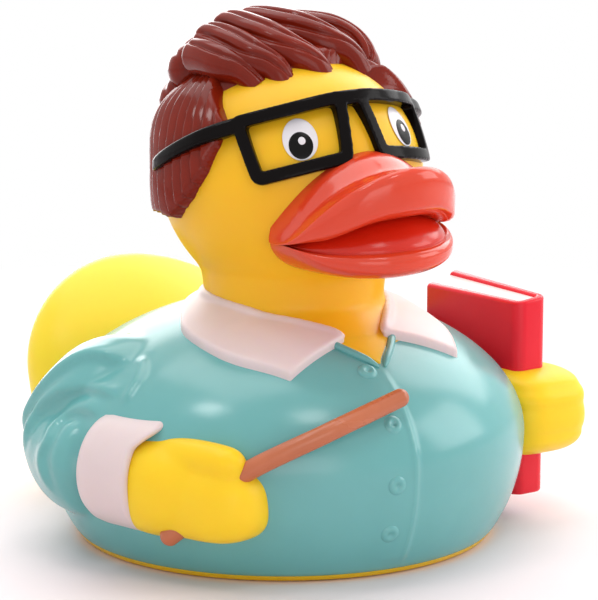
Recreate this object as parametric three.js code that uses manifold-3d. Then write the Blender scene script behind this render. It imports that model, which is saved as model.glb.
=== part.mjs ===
// A hollow moulded vinyl bath duck in a shirt and glasses, with a book under one arm and a pointer in
// the other hand. Millimetres, +Z up. The duck faces -Y, its right hand is on -X, and the origin is
// the middle of the flat base.
import * as THREE from "three";
import { mergeVertices } from "three/addons/utils/BufferGeometryUtils.js";
import Module from "manifold-3d";

// Body
const BODY_WIDTH = 84;
const BODY_LENGTH = 84;
const BODY_HEIGHT = 42; // where the shoulders would close over, inside the neck
const BELLY_HEIGHT = 18; // of the widest ring
const BASE_SHARE = 0.85; // width of the base against the belly
const BASE_EDGE = 1.4; // unpainted rim under the shirt
const WALL = 2.2;
const VENT_DIAMETER = 3;
const VENT_BACK = 18; // behind the middle of the base

// Tail
const TAIL_WIDTH = 56;
const TAIL_HEIGHT = 44;
const TAIL_THICKNESS = 26;
const TAIL_BACK = 44; // of its middle behind the origin
const TAIL_LEVEL = 22; // of its middle
const TAIL_LEAN = 24; // degrees backwards

// Head, built level about its own middle and then tipped back
const HEAD_WIDTH = 44.8;
const HEAD_DEPTH = 46;
const HEAD_HEIGHT = 44;
const HEAD_FORWARD = 3;
const HEAD_LEVEL = 61;
const HEAD_TIP = 17; // degrees backwards
const HEAD_ROLL = 3; // degrees towards the right shoulder
const NECK_DIAMETER = 31;

// Hair
const HAIR_THICKNESS = 2.2;
const HAIR_GROOVE = 0.8;
const HAIR_STRANDS = 22; // grooves right round the cap
const LOCK_THICKNESS = 7.4;

// Glasses
const LENS_WIDTH = 17.6;
const LENS_HEIGHT = 8.2;
const BRIDGE_WIDTH = 3.4;
const BRIDGE_RISE = 0.4; // of the bridge's middle above the lens openings
const RIM_WIDTH = 1.9;
const RIM_DEPTH = 1.3; // how far it stands off the face
const GLASSES_LEVEL = 4.6; // of the lens middle above the head's middle
const GLASSES_TURN = -1.2; // degrees, as they sit a little askew
const TEMPLE_LENGTH = 24;
const TEMPLE_HEIGHT = 2.9;
const TEMPLE_TIP = 2.1; // height at its far end
const TEMPLE_DROP = 2.4;

// Beak
const BEAK_WIDTH = 32;
const BEAK_LENGTH = 18.6; // from the mouth corners to the front
const BEAK_FORWARD = 18; // of the mouth corners ahead of the head's middle
const MOUTH_DROP = 6; // of the mouth corners below the head's middle
const BEAK_RISE = 13.6; // of the front ridge above the corners
const UPPER_LIP = 8; // thickness at the front
const LOWER_LIP = 5.2;
const MOUTH_INSET = 2.6;

// Collar
const COLLAR_THICKNESS = 1.5;
const COLLAR_RISE = 43; // of its fold round the neck

// Arms
const SLEEVE_DIAMETER = 18;
const SLEEVE_FOLD = 0.9;
const CUFF_DIAMETER = 19.6;
const CUFF_LENGTH = 10;
const CUFF_THICKNESS = 1.3;
const CUFF_POINT = 3.5; // length of the turned-back corner
const HAND_LENGTH = 28.5;
const HAND_WIDTH = 16;
const HAND_HEIGHT = 17.4;
const THUMB_DIAMETER = 6.6;
const FINGER_DIAMETER = 6.8;
const GRIP_WIDTH = 19; // of the left hand, closed round the book
const GRIP_LENGTH = 23;
const GRIP_HEIGHT = 16.4;

// Pointer and book
const POINTER_DIAMETER = 3.6;
const BOOK_WIDTH = 26;
const BOOK_HEIGHT = 35;
const BOOK_THICKNESS = 7;
const BOOK_LIFT = 4; // of its lower end above the ground
const BOOK_SPLAY = 2.2; // how much the outer board stands up at the fore edge
const SPINE_RADIUS = 1.6;
const COVER_THICKNESS = 1.3;
const PAGE_RECESS = 0.7;

// Shirt front
const BUTTON_DIAMETER = 3.4;
const BUTTON_PITCH = 9.7;
const PLACKET_WIDTH = 2.2;
const PLACKET_RISE = 0.45;

const wasm = await Module();
wasm.setup();

// Paint fields, in the order of the finished mesh's material groups
const vinyl = (name, colour, roughness) =>
  new THREE.MeshStandardMaterial({ name, color: colour, roughness, metalness: 0 });
const PAINTS = {
  skin: vinyl("yellow_vinyl", "#f2b91f", 0.38),
  shirt: vinyl("aqua_paint", "#5fb3b0", 0.42),
  linen: vinyl("white_paint", "#e9e0e2", 0.4),
  hair: vinyl("brown_paint", "#7d2a1e", 0.25),
  glasses: vinyl("black_paint", "#141214", 0.25),
  beak: vinyl("orange_paint", "#e0492f", 0.3),
  pointer: vinyl("tan_paint", "#b9623f", 0.35),
  book: vinyl("red_paint", "#cf2438", 0.35),
};
const PAINT_NAMES = Object.keys(PAINTS);
const paintOfRun = new Map();

const radians = THREE.MathUtils.degToRad;
const clamp = THREE.MathUtils.clamp;
const mix = THREE.MathUtils.lerp;
const smooth = THREE.MathUtils.smoothstep;
const signedPower = (value, power) => Math.sign(value) * Math.abs(value) ** power;
const ball = (segments, rings) => new THREE.SphereGeometry(1, segments, rings).rotateX(Math.PI / 2);

// Closed, welded copy of a three.js geometry with every vertex moved by the given function.
function reshape(geometry, move) {
  const bare = geometry.clone();
  bare.deleteAttribute("normal");
  bare.deleteAttribute("uv");
  const welded = mergeVertices(bare, 1e-4);
  const position = welded.getAttribute("position");
  const point = new THREE.Vector3();
  for (let i = 0; i < position.count; i++) {
    move(point.fromBufferAttribute(position, i));
    position.setXYZ(i, point.x, point.y, point.z);
  }
  return mergeVertices(welded, 1e-4);
}

// Manifold solid of a closed geometry, remembered under its paint.
function solid(geometry, paint) {
  const welded = reshape(geometry, () => {});
  const kept = [];
  const index = welded.index.array;
  for (let i = 0; i < index.length; i += 3) {
    const [a, b, c] = [index[i], index[i + 1], index[i + 2]];
    if (a !== b && b !== c && c !== a) kept.push(a, b, c);
  }
  const run = wasm.Manifold.reserveIDs(1);
  paintOfRun.set(run, PAINT_NAMES.indexOf(paint));
  const made = new wasm.Manifold(
    new wasm.Mesh({
      numProp: 3,
      vertProperties: new Float32Array(welded.getAttribute("position").array),
      triVerts: new Uint32Array(kept),
      runIndex: new Uint32Array([0, kept.length]),
      runOriginalID: new Uint32Array([run]),
    }),
  );
  if (made.volume() <= 0) throw new Error(`${paint} solid is inside out`);
  return made;
}

const join = (...solids) => solids.reduce((whole, piece) => whole.add(piece));

function turnInsideOut(geometry) {
  const index = geometry.index.array;
  for (let i = 0; i < index.length; i += 3) [index[i], index[i + 1]] = [index[i + 1], index[i]];
  return geometry;
}

// Round bar along a curve. size(t) gives its half width and half height at t from 0 to 1.
function sweep(curve, size, { sides = 12, steps = 16, up = new THREE.Vector3(0, 0, 1) } = {}) {
  const bar = new THREE.CylinderGeometry(1, 1, 1, sides, steps);
  return reshape(bar, (point) => {
    const t = (1 - Math.cos(Math.PI * (point.y + 0.5))) / 2;
    const ahead = curve.getTangentAt(t);
    const side = new THREE.Vector3().crossVectors(ahead, up).normalize();
    const above = new THREE.Vector3().crossVectors(side, ahead);
    const [wide, high] = size(t);
    const { x, z } = point;
    point.copy(curve.getPointAt(t));
    point.addScaledVector(side, x * wide).addScaledVector(above, z * high);
  });
}

// Rounds the ends of a swept bar off.
const roundEnds = (t, reach = 0.12) => {
  const inside = clamp(Math.min(t, 1 - t) / reach, 0, 1);
  return Math.sqrt(Math.max(1 - (1 - inside) ** 2, 0.004));
};

const through = (points) =>
  new THREE.CatmullRomCurve3(points.map((p) => new THREE.Vector3(...p)), false, "centripetal");

// Body

// Share of the belly's width at a height.
function bodyShare(height) {
  if (height < BELLY_HEIGHT) {
    const rise = clamp(height / BELLY_HEIGHT, 0, 1);
    return BASE_SHARE + (1 - BASE_SHARE) * Math.sin((Math.PI / 2) * rise ** 0.8);
  }
  const rise = clamp((height - BELLY_HEIGHT) / (BODY_HEIGHT - BELLY_HEIGHT), 0, 1);
  return (1 - rise ** 2) ** 0.526;
}

// Point on the shirt, turned in degrees from the front towards the left hand.
function bodyPoint(turn, height, lift = 0) {
  const a = radians(turn);
  const share = bodyShare(height);
  const rise = bodyShare(height + 0.5) - bodyShare(height - 0.5);
  const slope = (rise * BODY_WIDTH) / 2;
  const out = lift / Math.hypot(1, slope);
  return new THREE.Vector3(
    Math.sin(a) * ((BODY_WIDTH / 2) * share + out),
    -Math.cos(a) * ((BODY_LENGTH / 2) * share + out),
    height - out * slope,
  );
}

// Turned body between two heights, its sides drawn in by the inset.
function bodyShell(inset, from, to, segments, rings) {
  const profile = [new THREE.Vector2(0, from)];
  for (let i = 0; i <= rings; i++) {
    const height = mix(from, to, Math.sin((Math.PI / 2) * (i / rings)));
    profile.push(new THREE.Vector2(bodyShare(height), height));
  }
  profile.push(new THREE.Vector2(0, to));
  const turned = new THREE.LatheGeometry(profile, segments).rotateX(Math.PI / 2);
  return reshape(turned, (point) => {
    point.x *= BODY_WIDTH / 2 - inset;
    point.y *= BODY_LENGTH / 2 - inset;
  });
}

const bodyTop = BODY_HEIGHT - 1.5;
const base = () => solid(bodyShell(0, 0, BASE_EDGE, 48, 1), "skin");
const shirt = () => solid(bodyShell(0, BASE_EDGE, bodyTop, 48, 13), "shirt");

// Broad upright fan, leaning back and thinner towards its top.
function fan(inset, segments, rings) {
  const lean = new THREE.Vector3(1, 0, 0);
  return reshape(ball(segments, rings), (point) => {
    point.x *= (TAIL_WIDTH / 2 - inset) * (1 - 0.12 * point.z);
    point.y *= (TAIL_THICKNESS / 2 - inset) * (1 - 0.4 * point.z);
    point.z *= TAIL_HEIGHT / 2 - inset;
    point.applyAxisAngle(lean, -radians(TAIL_LEAN));
    point.y += TAIL_BACK;
    point.z = Math.max(point.z + TAIL_LEVEL, BASE_EDGE + inset);
  });
}

const tail = () => solid(fan(0, 22, 10), "skin");

// Head

const headFrame = new THREE.Matrix4()
  .makeTranslation(0, -HEAD_FORWARD, HEAD_LEVEL)
  .multiply(new THREE.Matrix4().makeRotationX(-radians(HEAD_TIP)))
  .multiply(new THREE.Matrix4().makeRotationY(-radians(HEAD_ROLL)));
const onHead = (geometry) => geometry.applyMatrix4(headFrame);

// Point on the skull at a turn in degrees from the front and a level above its middle.
function skullPoint(turn, level, lift = 0) {
  const a = radians(turn);
  const share = Math.sqrt(1 - clamp((2 * level) / HEAD_HEIGHT, -0.99, 0.99) ** 2);
  return new THREE.Vector3(
    Math.sin(a) * ((HEAD_WIDTH / 2) * share + lift),
    -Math.cos(a) * ((HEAD_DEPTH / 2) * share + lift),
    level,
  );
}

function skullShell(segments, rings, lift) {
  return reshape(ball(segments, rings), (point) => {
    const out = lift(point);
    const jaw = 1 - 0.12 * Math.max(0, -point.z);
    point.x *= (HEAD_WIDTH / 2 + out) * jaw;
    point.y *= (HEAD_DEPTH / 2 + out) * jaw;
    point.z *= HEAD_HEIGHT / 2 + out;
  });
}

const skull = () => solid(onHead(skullShell(28, 16, () => 0)), "skin");

// Round column between the body and the head, widening into the jaw.
function neckShell(inset, segments, rings) {
  const foot = BODY_HEIGHT * 0.8;
  const profile = [new THREE.Vector2(0, foot)];
  for (let i = 0; i <= rings; i++) {
    const height = mix(foot, HEAD_LEVEL, i / rings);
    const flare = smooth(i / rings, 0.3, 1.1) * 0.22;
    profile.push(new THREE.Vector2((NECK_DIAMETER / 2) * (1 + flare) - inset, height));
  }
  profile.push(new THREE.Vector2(0, HEAD_LEVEL));
  return new THREE.LatheGeometry(profile, segments).rotateX(Math.PI / 2).translate(0, -HEAD_FORWARD, 0);
}

const neck = () => solid(neckShell(0, 24, 5), "skin");

// Hair

// Hair's edge seen from the side, as shares of half the head's depth and half its height.
const HAIRLINE = [
  [-1.5, 0.8],
  [-0.22, 0.8],
  [-0.48, 0.45],
  [-0.41, 0.24],
  [-0.35, 0],
  [-0.2, -0.04],
  [0, -0.09],
  [0.12, -0.12],
  [0.35, -0.04],
  [0.6, 0],
  [1.5, 0],
  [1.5, 1.6],
  [-1.5, 1.6],
];

// Locks combed from a parting high on the right down to the brow, then the ones behind them. Their
// points are shares of the half head.
const LOCKS = [
  {
    wide: 0.8,
    line: [[-0.57, 0.17, 1.17], [-0.56, -0.04, 1.06], [-0.54, -0.22, 0.94], [-0.49, -0.36, 0.83]],
  },
  {
    wide: 0.92,
    line: [
      [-0.42, 0.22, 1.24],
      [-0.4, 0, 1.16],
      [-0.38, -0.24, 1.01],
      [-0.37, -0.41, 0.89],
      [-0.32, -0.53, 0.79],
    ],
  },
  {
    wide: 1,
    line: [
      [-0.24, 0.24, 1.3],
      [-0.22, 0, 1.22],
      [-0.22, -0.28, 1.06],
      [-0.16, -0.49, 0.91],
      [-0.02, -0.61, 0.79],
    ],
  },
  {
    wide: 1,
    line: [
      [-0.06, 0.26, 1.3],
      [0.02, 0, 1.22],
      [0.1, -0.26, 1.08],
      [0.21, -0.43, 0.95],
      [0.37, -0.46, 0.84],
    ],
  },
  {
    wide: 0.98,
    line: [
      [0.12, 0.3, 1.27],
      [0.33, 0.12, 1.22],
      [0.52, -0.04, 1.12],
      [0.64, -0.14, 1],
      [0.7, -0.2, 0.86],
    ],
  },
  {
    wide: 1.15,
    line: [
      [-0.62, 0.26, 0.9],
      [-0.48, 0.4, 1.04],
      [-0.18, 0.46, 1.18],
      [0.22, 0.38, 1.14],
      [0.52, 0.2, 0.96],
      [0.68, 0.12, 0.76],
    ],
  },
  {
    wide: 1.25,
    line: [
      [-0.64, 0.46, 0.68],
      [-0.42, 0.58, 0.88],
      [0, 0.6, 0.98],
      [0.4, 0.48, 0.84],
      [0.66, 0.38, 0.62],
    ],
  },
];

function hairCap() {
  const ripple = (point) => {
    const turn = Math.atan2(point.x, -point.y);
    return HAIR_THICKNESS - HAIR_GROOVE * Math.abs(Math.sin((turn * HAIR_STRANDS) / 2)) ** 3;
  };
  const cap = solid(onHead(skullShell(HAIR_STRANDS * 3, 11, ripple)), "hair");
  const edge = HAIRLINE.map(([y, z]) => new THREE.Vector2((y * HEAD_DEPTH) / 2, (z * HEAD_HEIGHT) / 2));
  const flat = { depth: 2 * HEAD_WIDTH, bevelEnabled: false };
  const slab = new THREE.ExtrudeGeometry(new THREE.Shape(edge), flat);
  const keep = reshape(slab, (point) => point.set(point.z - HEAD_WIDTH, point.x, point.y));
  return cap.intersect(solid(onHead(keep), "hair"));
}

function lock({ wide, line }) {
  const half = [HEAD_WIDTH / 2, HEAD_DEPTH / 2, HEAD_HEIGHT / 2];
  const path = through(line.map((point) => point.map((share, axis) => share * half[axis])));
  const size = (t) => {
    const round = (LOCK_THICKNESS / 2) * wide * roundEnds(t, 0.16) * mix(1, 0.8, t);
    return [round, round];
  };
  return solid(onHead(sweep(path, size, { sides: 8, steps: 7 })), "hair");
}

// Mound that the locks lie on.
function crown() {
  const mound = ball(16, 10);
  mound.scale(0.37 * HEAD_WIDTH, 0.34 * HEAD_DEPTH, 0.33 * HEAD_HEIGHT);
  mound.translate(0, 0.03 * HEAD_DEPTH, 0.29 * HEAD_HEIGHT);
  return solid(onHead(mound), "hair");
}

const hair = () => join(hairCap(), crown(), ...LOCKS.map(lock));

// Glasses

// Closed outline through corners, each rounded off by the given radius.
function roundedOutline(corners, radius) {
  const outline = new THREE.Path();
  corners.forEach((corner, i) => {
    const before = corners[(i + corners.length - 1) % corners.length];
    const after = corners[(i + 1) % corners.length];
    const start = corner.clone().add(before.clone().sub(corner).setLength(radius));
    const end = corner.clone().add(after.clone().sub(corner).setLength(radius));
    if (i === 0) outline.moveTo(start.x, start.y);
    else outline.lineTo(start.x, start.y);
    outline.quadraticCurveTo(corner.x, corner.y, end.x, end.y);
  });
  outline.closePath();
  return outline.getSpacedPoints(28);
}

// Lens outline on the unrolled face, grown by the rim width for the frame's outside.
function lensOutline(side, grow) {
  const inner = BRIDGE_WIDTH / 2 + RIM_WIDTH - grow;
  const outer = BRIDGE_WIDTH / 2 + RIM_WIDTH + LENS_WIDTH + grow;
  const top = LENS_HEIGHT / 2 + grow;
  const corners = [
    [inner, -top],
    [outer - LENS_WIDTH / 7, -top],
    [outer, top],
    [inner, top],
  ].map(([x, y]) => new THREE.Vector2(side * x, y));
  if (side < 0) corners.reverse();
  return roundedOutline(corners, 1.1 + grow / 2);
}

// Bends a flat plate (x along the face, y up, z off the face) round the head.
function wrapOnFace(flat, under) {
  return reshape(flat, (point) => {
    const turn = GLASSES_TURN + THREE.MathUtils.radToDeg(point.x / (HEAD_DEPTH / 2 + RIM_DEPTH));
    const height = GLASSES_LEVEL + point.y;
    const brow = skullPoint(turn, mix(GLASSES_LEVEL, height, 0.55), point.z - under);
    point.set(brow.x, brow.y, height);
  });
}

function rim(side, under) {
  const shape = new THREE.Shape(lensOutline(side, RIM_WIDTH));
  shape.holes.push(new THREE.Path(lensOutline(side, 0)));
  const plate = new THREE.ExtrudeGeometry(shape, { depth: RIM_DEPTH + under, bevelEnabled: false });
  return solid(onHead(wrapOnFace(plate, under)), "glasses");
}

// Side arm, lying on the hair and dropping a little towards the ear.
function temple(side, under) {
  const start = BRIDGE_WIDTH / 2 + 2 * RIM_WIDTH + LENS_WIDTH - 1.5;
  const depth = RIM_DEPTH / 2 + HAIR_THICKNESS + under;
  const bent = reshape(new THREE.BoxGeometry(1, 1, depth, 10, 1, 1), (point) => {
    const along = point.x + 0.5;
    const height = mix(TEMPLE_HEIGHT, TEMPLE_TIP, along);
    point.x = side * (start + TEMPLE_LENGTH * along);
    const middle = LENS_HEIGHT / 2 + RIM_WIDTH - TEMPLE_HEIGHT / 2;
    point.y = middle - TEMPLE_DROP * along ** 1.4 + point.y * height;
    point.z += depth / 2;
  });
  if (side < 0) turnInsideOut(bent);
  return solid(onHead(wrapOnFace(bent, under)), "glasses");
}

function glasses() {
  const under = 2;
  const bar = new THREE.BoxGeometry(BRIDGE_WIDTH + 1, RIM_WIDTH * 1.3, RIM_DEPTH + under);
  bar.translate(0, LENS_HEIGHT / 2 + BRIDGE_RISE, (RIM_DEPTH + under) / 2);
  const bridge = solid(onHead(wrapOnFace(bar, under)), "glasses");
  return join(bridge, rim(-1, under), rim(1, under), temple(-1, under), temple(1, under));
}

// Beak

// A lip is a ball whose rim follows the mouth. top and bottom give its levels above the corners: keep
// runs from 0 at a corner to 1 in the middle, and ahead from 0 at the face to 1 at the rim.
function lip({ inset, top, bottom, dish = 0 }) {
  const corner = -HEAD_FORWARD - BEAK_FORWARD;
  const tilt = (BEAK_WIDTH / 2) * Math.tan(radians(HEAD_ROLL));
  return reshape(ball(22, 9), (point) => {
    const keep = clamp(1 - point.x ** 2, 1e-6, 1);
    const ahead = clamp(-point.y / Math.sqrt(keep), 0, 1);
    const middle = (top(keep, ahead) + bottom(keep)) / 2 + point.x * tilt;
    const half = (top(keep, ahead) - bottom(keep)) / 2;
    const hollow = point.z > 0 ? dish * keep * Math.max(0, 1 - ((ahead - 0.58) / 0.3) ** 2) : 0;
    const reach = point.y < 0 ? BEAK_LENGTH - inset : BEAK_LENGTH * 0.35;
    point.set(
      point.x * (BEAK_WIDTH / 2 - inset),
      corner + point.y * reach,
      HEAD_LEVEL - MOUTH_DROP + middle + half * signedPower(point.z, 0.42) - hollow,
    );
  });
}

function beak() {
  const gap = BEAK_RISE - UPPER_LIP;
  const upper = lip({
    inset: 0,
    top: (keep, ahead) => 0.5 + (BEAK_RISE - 0.5) * keep ** mix(1.3, 0.65, smooth(ahead, 0.15, 0.9)),
    bottom: (keep) => gap * keep ** 0.8 - 0.5,
    dish: 1.6,
  });
  const mouth = lip({
    inset: MOUTH_INSET,
    top: (keep, ahead) => (gap + 1) * keep ** 0.5 * mix(1, 0.3, smooth(ahead, 0.5, 1)),
    bottom: () => -3,
  });
  const lower = lip({
    inset: 1,
    top: (keep) => 0.4 - keep,
    bottom: (keep) => -1.8 - LOWER_LIP * keep ** 0.3 + 1.2 * keep ** 3,
  });
  return join(...[upper, mouth, lower].map((geometry) => solid(geometry, "beak")));
}

// Collar

// Height of the shirt's upper surface over a point of the plan.
function shoulderHeight(x, y) {
  const share = Math.hypot((2 * x) / BODY_WIDTH, (2 * y) / BODY_LENGTH);
  const rise = Math.sqrt(clamp(1 - share ** (1 / 0.526), 0, 1));
  return mix(BELLY_HEIGHT, BODY_HEIGHT, rise);
}

// Folded-down leaf round the neck, open at the throat, ending in a point on each side. Each row is a
// turn in degrees from the front, a reach as a share of the neck's radius, and the share that the fold drops.
function collar() {
  const ring = ([turn, share, drop = 0]) => {
    const reach = share * (NECK_DIAMETER / 2);
    const a = radians(turn);
    return [Math.sin(a) * reach, -HEAD_FORWARD - Math.cos(a) * reach, COLLAR_RISE * (1 - drop)];
  };
  const fold = through(
    [
      [180, 1.02],
      [125, 1.02],
      [94, 1.04, 0.01],
      [58, 1.08, 0.04],
      [32, 1.13, 0.08],
      [12, 1.2, 0.13],
    ].map(ring),
  );
  const hem = through(
    [
      [180, 1.2],
      [125, 1.2],
      [100, 1.34],
      [85, 1.54],
      [68, 1.7],
      [54, 1.85],
      [35, 2.03],
    ].map(ring),
  );
  const leaf = reshape(new THREE.BoxGeometry(2, 1, 1, 34, 3, 1), (point) => {
    const along = Math.abs(point.x);
    const side = point.x < 0 ? 1 : -1;
    const [inner, outer] = [fold.getPoint(along), hem.getPoint(along)];
    const down = 0.5 - point.y;
    const sink = (0.5 - point.z) * COLLAR_THICKNESS * 2.2;
    outer.z = shoulderHeight(outer.x, outer.y) + COLLAR_THICKNESS;
    point.lerpVectors(inner, outer, down);
    const level = Math.max(point.z, shoulderHeight(point.x, point.y) + COLLAR_THICKNESS);
    point.set(side * point.x, point.y, level - sink);
  });
  return solid(leaf, "linen");
}

// Bare skin in the open throat of the shirt, narrowing to a point.
function throat() {
  const wedge = reshape(new THREE.BoxGeometry(2, 1, 1, 4, 1, 4), (point) => {
    const height = mix(0.82, 0.94, point.z + 0.5) * BODY_HEIGHT;
    const turn = point.x * mix(0.5, 16, point.z + 0.5) - 2.5;
    point.copy(bodyPoint(turn, height, point.y < 0 ? 0.3 : -WALL));
  });
  return solid(wedge, "skin");
}

// Arms

// Line from the shoulder round the elbow to the wrist, as shares of half the body's width, and the way
// the hand points from there.
const ARMS = {
  right: {
    side: -1,
    line: [
      [0.6, -0.07, 0.74],
      [0.74, 0.19, 0.65],
      [0.815, 0.33, 0.44],
      [0.87, 0.16, 0.37],
      [0.885, -0.13, 0.4],
    ],
    heading: [0.37, -0.93, 0],
  },
  left: {
    side: 1,
    line: [
      [0.6, -0.07, 0.74],
      [0.74, 0.21, 0.65],
      [0.815, 0.42, 0.44],
      [0.93, 0.28, 0.38],
      [1.02, 0.06, 0.45],
    ],
    heading: [0.05, -1, 0],
  },
};

function armLine({ side, line }) {
  const half = BODY_WIDTH / 2;
  return through(line.map(([x, y, z]) => [side * x * half, y * half, z * half]));
}

function sleeve(arm) {
  const folds = 4;
  const size = (t) => {
    const scallop = Math.abs(Math.sin(Math.PI * folds * t)) ** 0.5;
    const full = (SLEEVE_DIAMETER / 2) * mix(0.95, 1.04, t) - SLEEVE_FOLD * (1 - scallop);
    return [full * roundEnds(t, 0.15), full * roundEnds(t, 0.15)];
  };
  const shape = sweep(armLine(arm), size, { sides: 10, steps: 19, up: new THREE.Vector3(1, 0, 0) });
  return solid(shape, "shirt");
}

// Where the hand leaves the sleeve: x to the duck's right, y ahead along the hand, z up.
function wristFrame(arm) {
  const up = new THREE.Vector3(0, 0, 1);
  const ahead = new THREE.Vector3(...arm.heading).normalize();
  const out = new THREE.Vector3().crossVectors(ahead, up);
  return new THREE.Matrix4().makeBasis(out, ahead, up).setPosition(armLine(arm).getPointAt(1));
}

// Turned-back cuff with one pointed corner on top.
function cuff(arm) {
  const r = CUFF_DIAMETER / 2;
  const lip = r - CUFF_THICKNESS;
  const profile = [
    [0, -1],
    [r - 1.6, -1],
    [r - 0.4, 0.4],
    [r, CUFF_LENGTH],
    [lip, CUFF_LENGTH + 0.3],
    [lip - 0.6, CUFF_LENGTH - 2],
    [0, CUFF_LENGTH - 2],
  ].map(([x, y]) => new THREE.Vector2(x, y));
  const band = reshape(new THREE.LatheGeometry(profile, 22), (point) => {
    const open = smooth(point.y, CUFF_LENGTH - 1, CUFF_LENGTH);
    point.y += open * CUFF_POINT * smooth(point.z / r, 0.75, 1);
  });
  return solid(band.applyMatrix4(wristFrame(arm)), "linen");
}

function finger(diameter, points) {
  const size = (t) => {
    const r = (diameter / 2) * roundEnds(t, 0.35);
    return [r, r];
  };
  return sweep(through(points), size, { sides: 8, steps: 5 });
}

// Closed right hand in its wrist's frame: the thumb lies on top and three fingers curl round to the inside.
function fist(arm) {
  const middle = CUFF_LENGTH + 0.22 * HAND_LENGTH;
  const tip = CUFF_LENGTH + 0.74 * HAND_LENGTH;
  const [wide, high] = [HAND_WIDTH / 2, HAND_HEIGHT / 2];
  const palm = ball(14, 10).scale(1.1 * wide, HAND_LENGTH / 2, high);
  palm.translate(-0.12 * wide, middle, -0.03 * HAND_HEIGHT);
  const thumb = finger(THUMB_DIAMETER, [
    [0.15 * wide, 0.6 * middle, 0.45 * high],
    [0.12 * wide, middle, 0.66 * high],
    [0.05 * wide, 0.85 * tip, 0.58 * high],
  ]);
  const fingers = [0, 1, 2].map((row) => {
    const end = tip - FINGER_DIAMETER / 2 - (row * row * HAND_LENGTH) / 40;
    const level = (0.12 - 0.38 * row) * high;
    return finger(FINGER_DIAMETER, [
      [0.45 * wide, middle, level],
      [0.3 * wide, end, level],
      [-0.65 * wide, 0.98 * end, level],
    ]);
  });
  const frame = wristFrame(arm);
  return join(...[palm, thumb, ...fingers].map((part) => solid(part.applyMatrix4(frame), "skin")));
}

// Left hand closed round the spine of the book, as a soft-cornered block.
function grip(arm) {
  const block = reshape(ball(16, 8), (point) => {
    const wrist = mix(0.76, 1, smooth(point.y, -0.8, 0.1));
    point.x = (signedPower(point.x, 0.6) * wrist * GRIP_WIDTH) / 2;
    point.y = (signedPower(point.y, 0.7) * GRIP_LENGTH) / 2;
    point.z = (signedPower(point.z, 0.6) * wrist * GRIP_HEIGHT) / 2;
  });
  block.translate(GRIP_WIDTH / 8, CUFF_LENGTH + 0.28 * GRIP_LENGTH, GRIP_HEIGHT / 32);
  return solid(block.applyMatrix4(wristFrame(arm)), "skin");
}

// Pointer and book

// Stick lying over the shirt, its middle line as shares of half the body's width.
function pointer() {
  const half = BODY_WIDTH / 2;
  const line = [
    [-0.89, -0.475, 0.155],
    [-0.81, -0.607, 0.274],
    [-0.726, -0.71, 0.393],
    [-0.667, -0.776, 0.476],
    [-0.536, -0.879, 0.555],
    [-0.41, -0.952, 0.63],
    [-0.23, -0.98, 0.69],
    [-0.055, -0.955, 0.735],
  ];
  const path = through(line.map((point) => point.map((share) => share * half)));
  const size = (t) => {
    const r = (POINTER_DIAMETER / 2) * mix(1, 0.9, t) * roundEnds(t, 0.03);
    return [r, r];
  };
  return solid(sweep(path, size, { sides: 8, steps: 16 }), "pointer");
}

// Upright block with a rounded spine on +x.
function bookBlock(width, thickness, radius, height) {
  const w = width / 2;
  const h = thickness / 2;
  const shape = new THREE.Shape()
    .moveTo(-w, -h)
    .lineTo(w - radius, -h)
    .quadraticCurveTo(w, -h, w, -h + radius)
    .lineTo(w, h - radius)
    .quadraticCurveTo(w, h, w - radius, h)
    .lineTo(-w, h);
  return new THREE.ExtrudeGeometry(shape, { depth: height, bevelEnabled: false, curveSegments: 4 });
}

function book() {
  const inside = BOOK_THICKNESS - 2 * COVER_THICKNESS;
  const inner = SPINE_RADIUS * 0.6;
  const place = (geometry) => {
    const splayed = reshape(geometry, (point) => {
      const across = 0.5 + point.y / BOOK_THICKNESS;
      const along = 0.5 + point.x / BOOK_WIDTH;
      point.z += ((BOOK_SPLAY * point.z) / BOOK_HEIGHT) * across * mix(1, 0.35, along);
    });
    return splayed.rotateZ(radians(-87)).translate(0.47 * BODY_WIDTH, -BODY_LENGTH / 14, BOOK_LIFT);
  };
  const cover = bookBlock(BOOK_WIDTH, BOOK_THICKNESS, SPINE_RADIUS, BOOK_HEIGHT);
  const room = bookBlock(BOOK_WIDTH, inside, inner, BOOK_HEIGHT + 2 * COVER_THICKNESS);
  room.translate(-COVER_THICKNESS * 1.5, 0, -COVER_THICKNESS);
  const pagesWide = BOOK_WIDTH - PAGE_RECESS - COVER_THICKNESS;
  const block = bookBlock(pagesWide, inside + 0.02, inner, BOOK_HEIGHT - 2 * PAGE_RECESS);
  block.translate((PAGE_RECESS - COVER_THICKNESS) / 2, 0, PAGE_RECESS);
  return solid(place(cover), "book").subtract(solid(place(room), "book")).add(solid(place(block), "linen"));
}

// Shirt front

function button(row) {
  const at = bodyPoint(-7, BELLY_HEIGHT + (row - 1) * BUTTON_PITCH, 0);
  const disc = new THREE.SphereGeometry(BUTTON_DIAMETER / 2, 10, 6).scale(1, 0.45, 1);
  return solid(disc.translate(at.x, at.y, at.z), "shirt");
}

function placket() {
  const points = [0.08, 0.2, 0.32, 0.44, 0.56, 0.68, 0.78].map((share) =>
    bodyPoint(-1, share * BODY_HEIGHT, -0.3).toArray(),
  );
  const size = (t) => [(PLACKET_WIDTH / 2) * roundEnds(t, 0.1), PLACKET_RISE + 0.3];
  return solid(
    sweep(through(points), size, { sides: 6, steps: 9, up: new THREE.Vector3(0, -1, 0) }),
    "shirt",
  );
}

// Assembly

function cavity() {
  const torso = bodyShell(WALL, WALL, bodyTop - WALL, 26, 7);
  const passage = neckShell(WALL + 1.5, 18, 2);
  const head = onHead(skullShell(18, 10, () => -WALL));
  const rump = fan(WALL * 1.5, 14, 8);
  return join(...[torso, passage, head, rump].map((geometry) => solid(geometry, "skin")));
}

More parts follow.
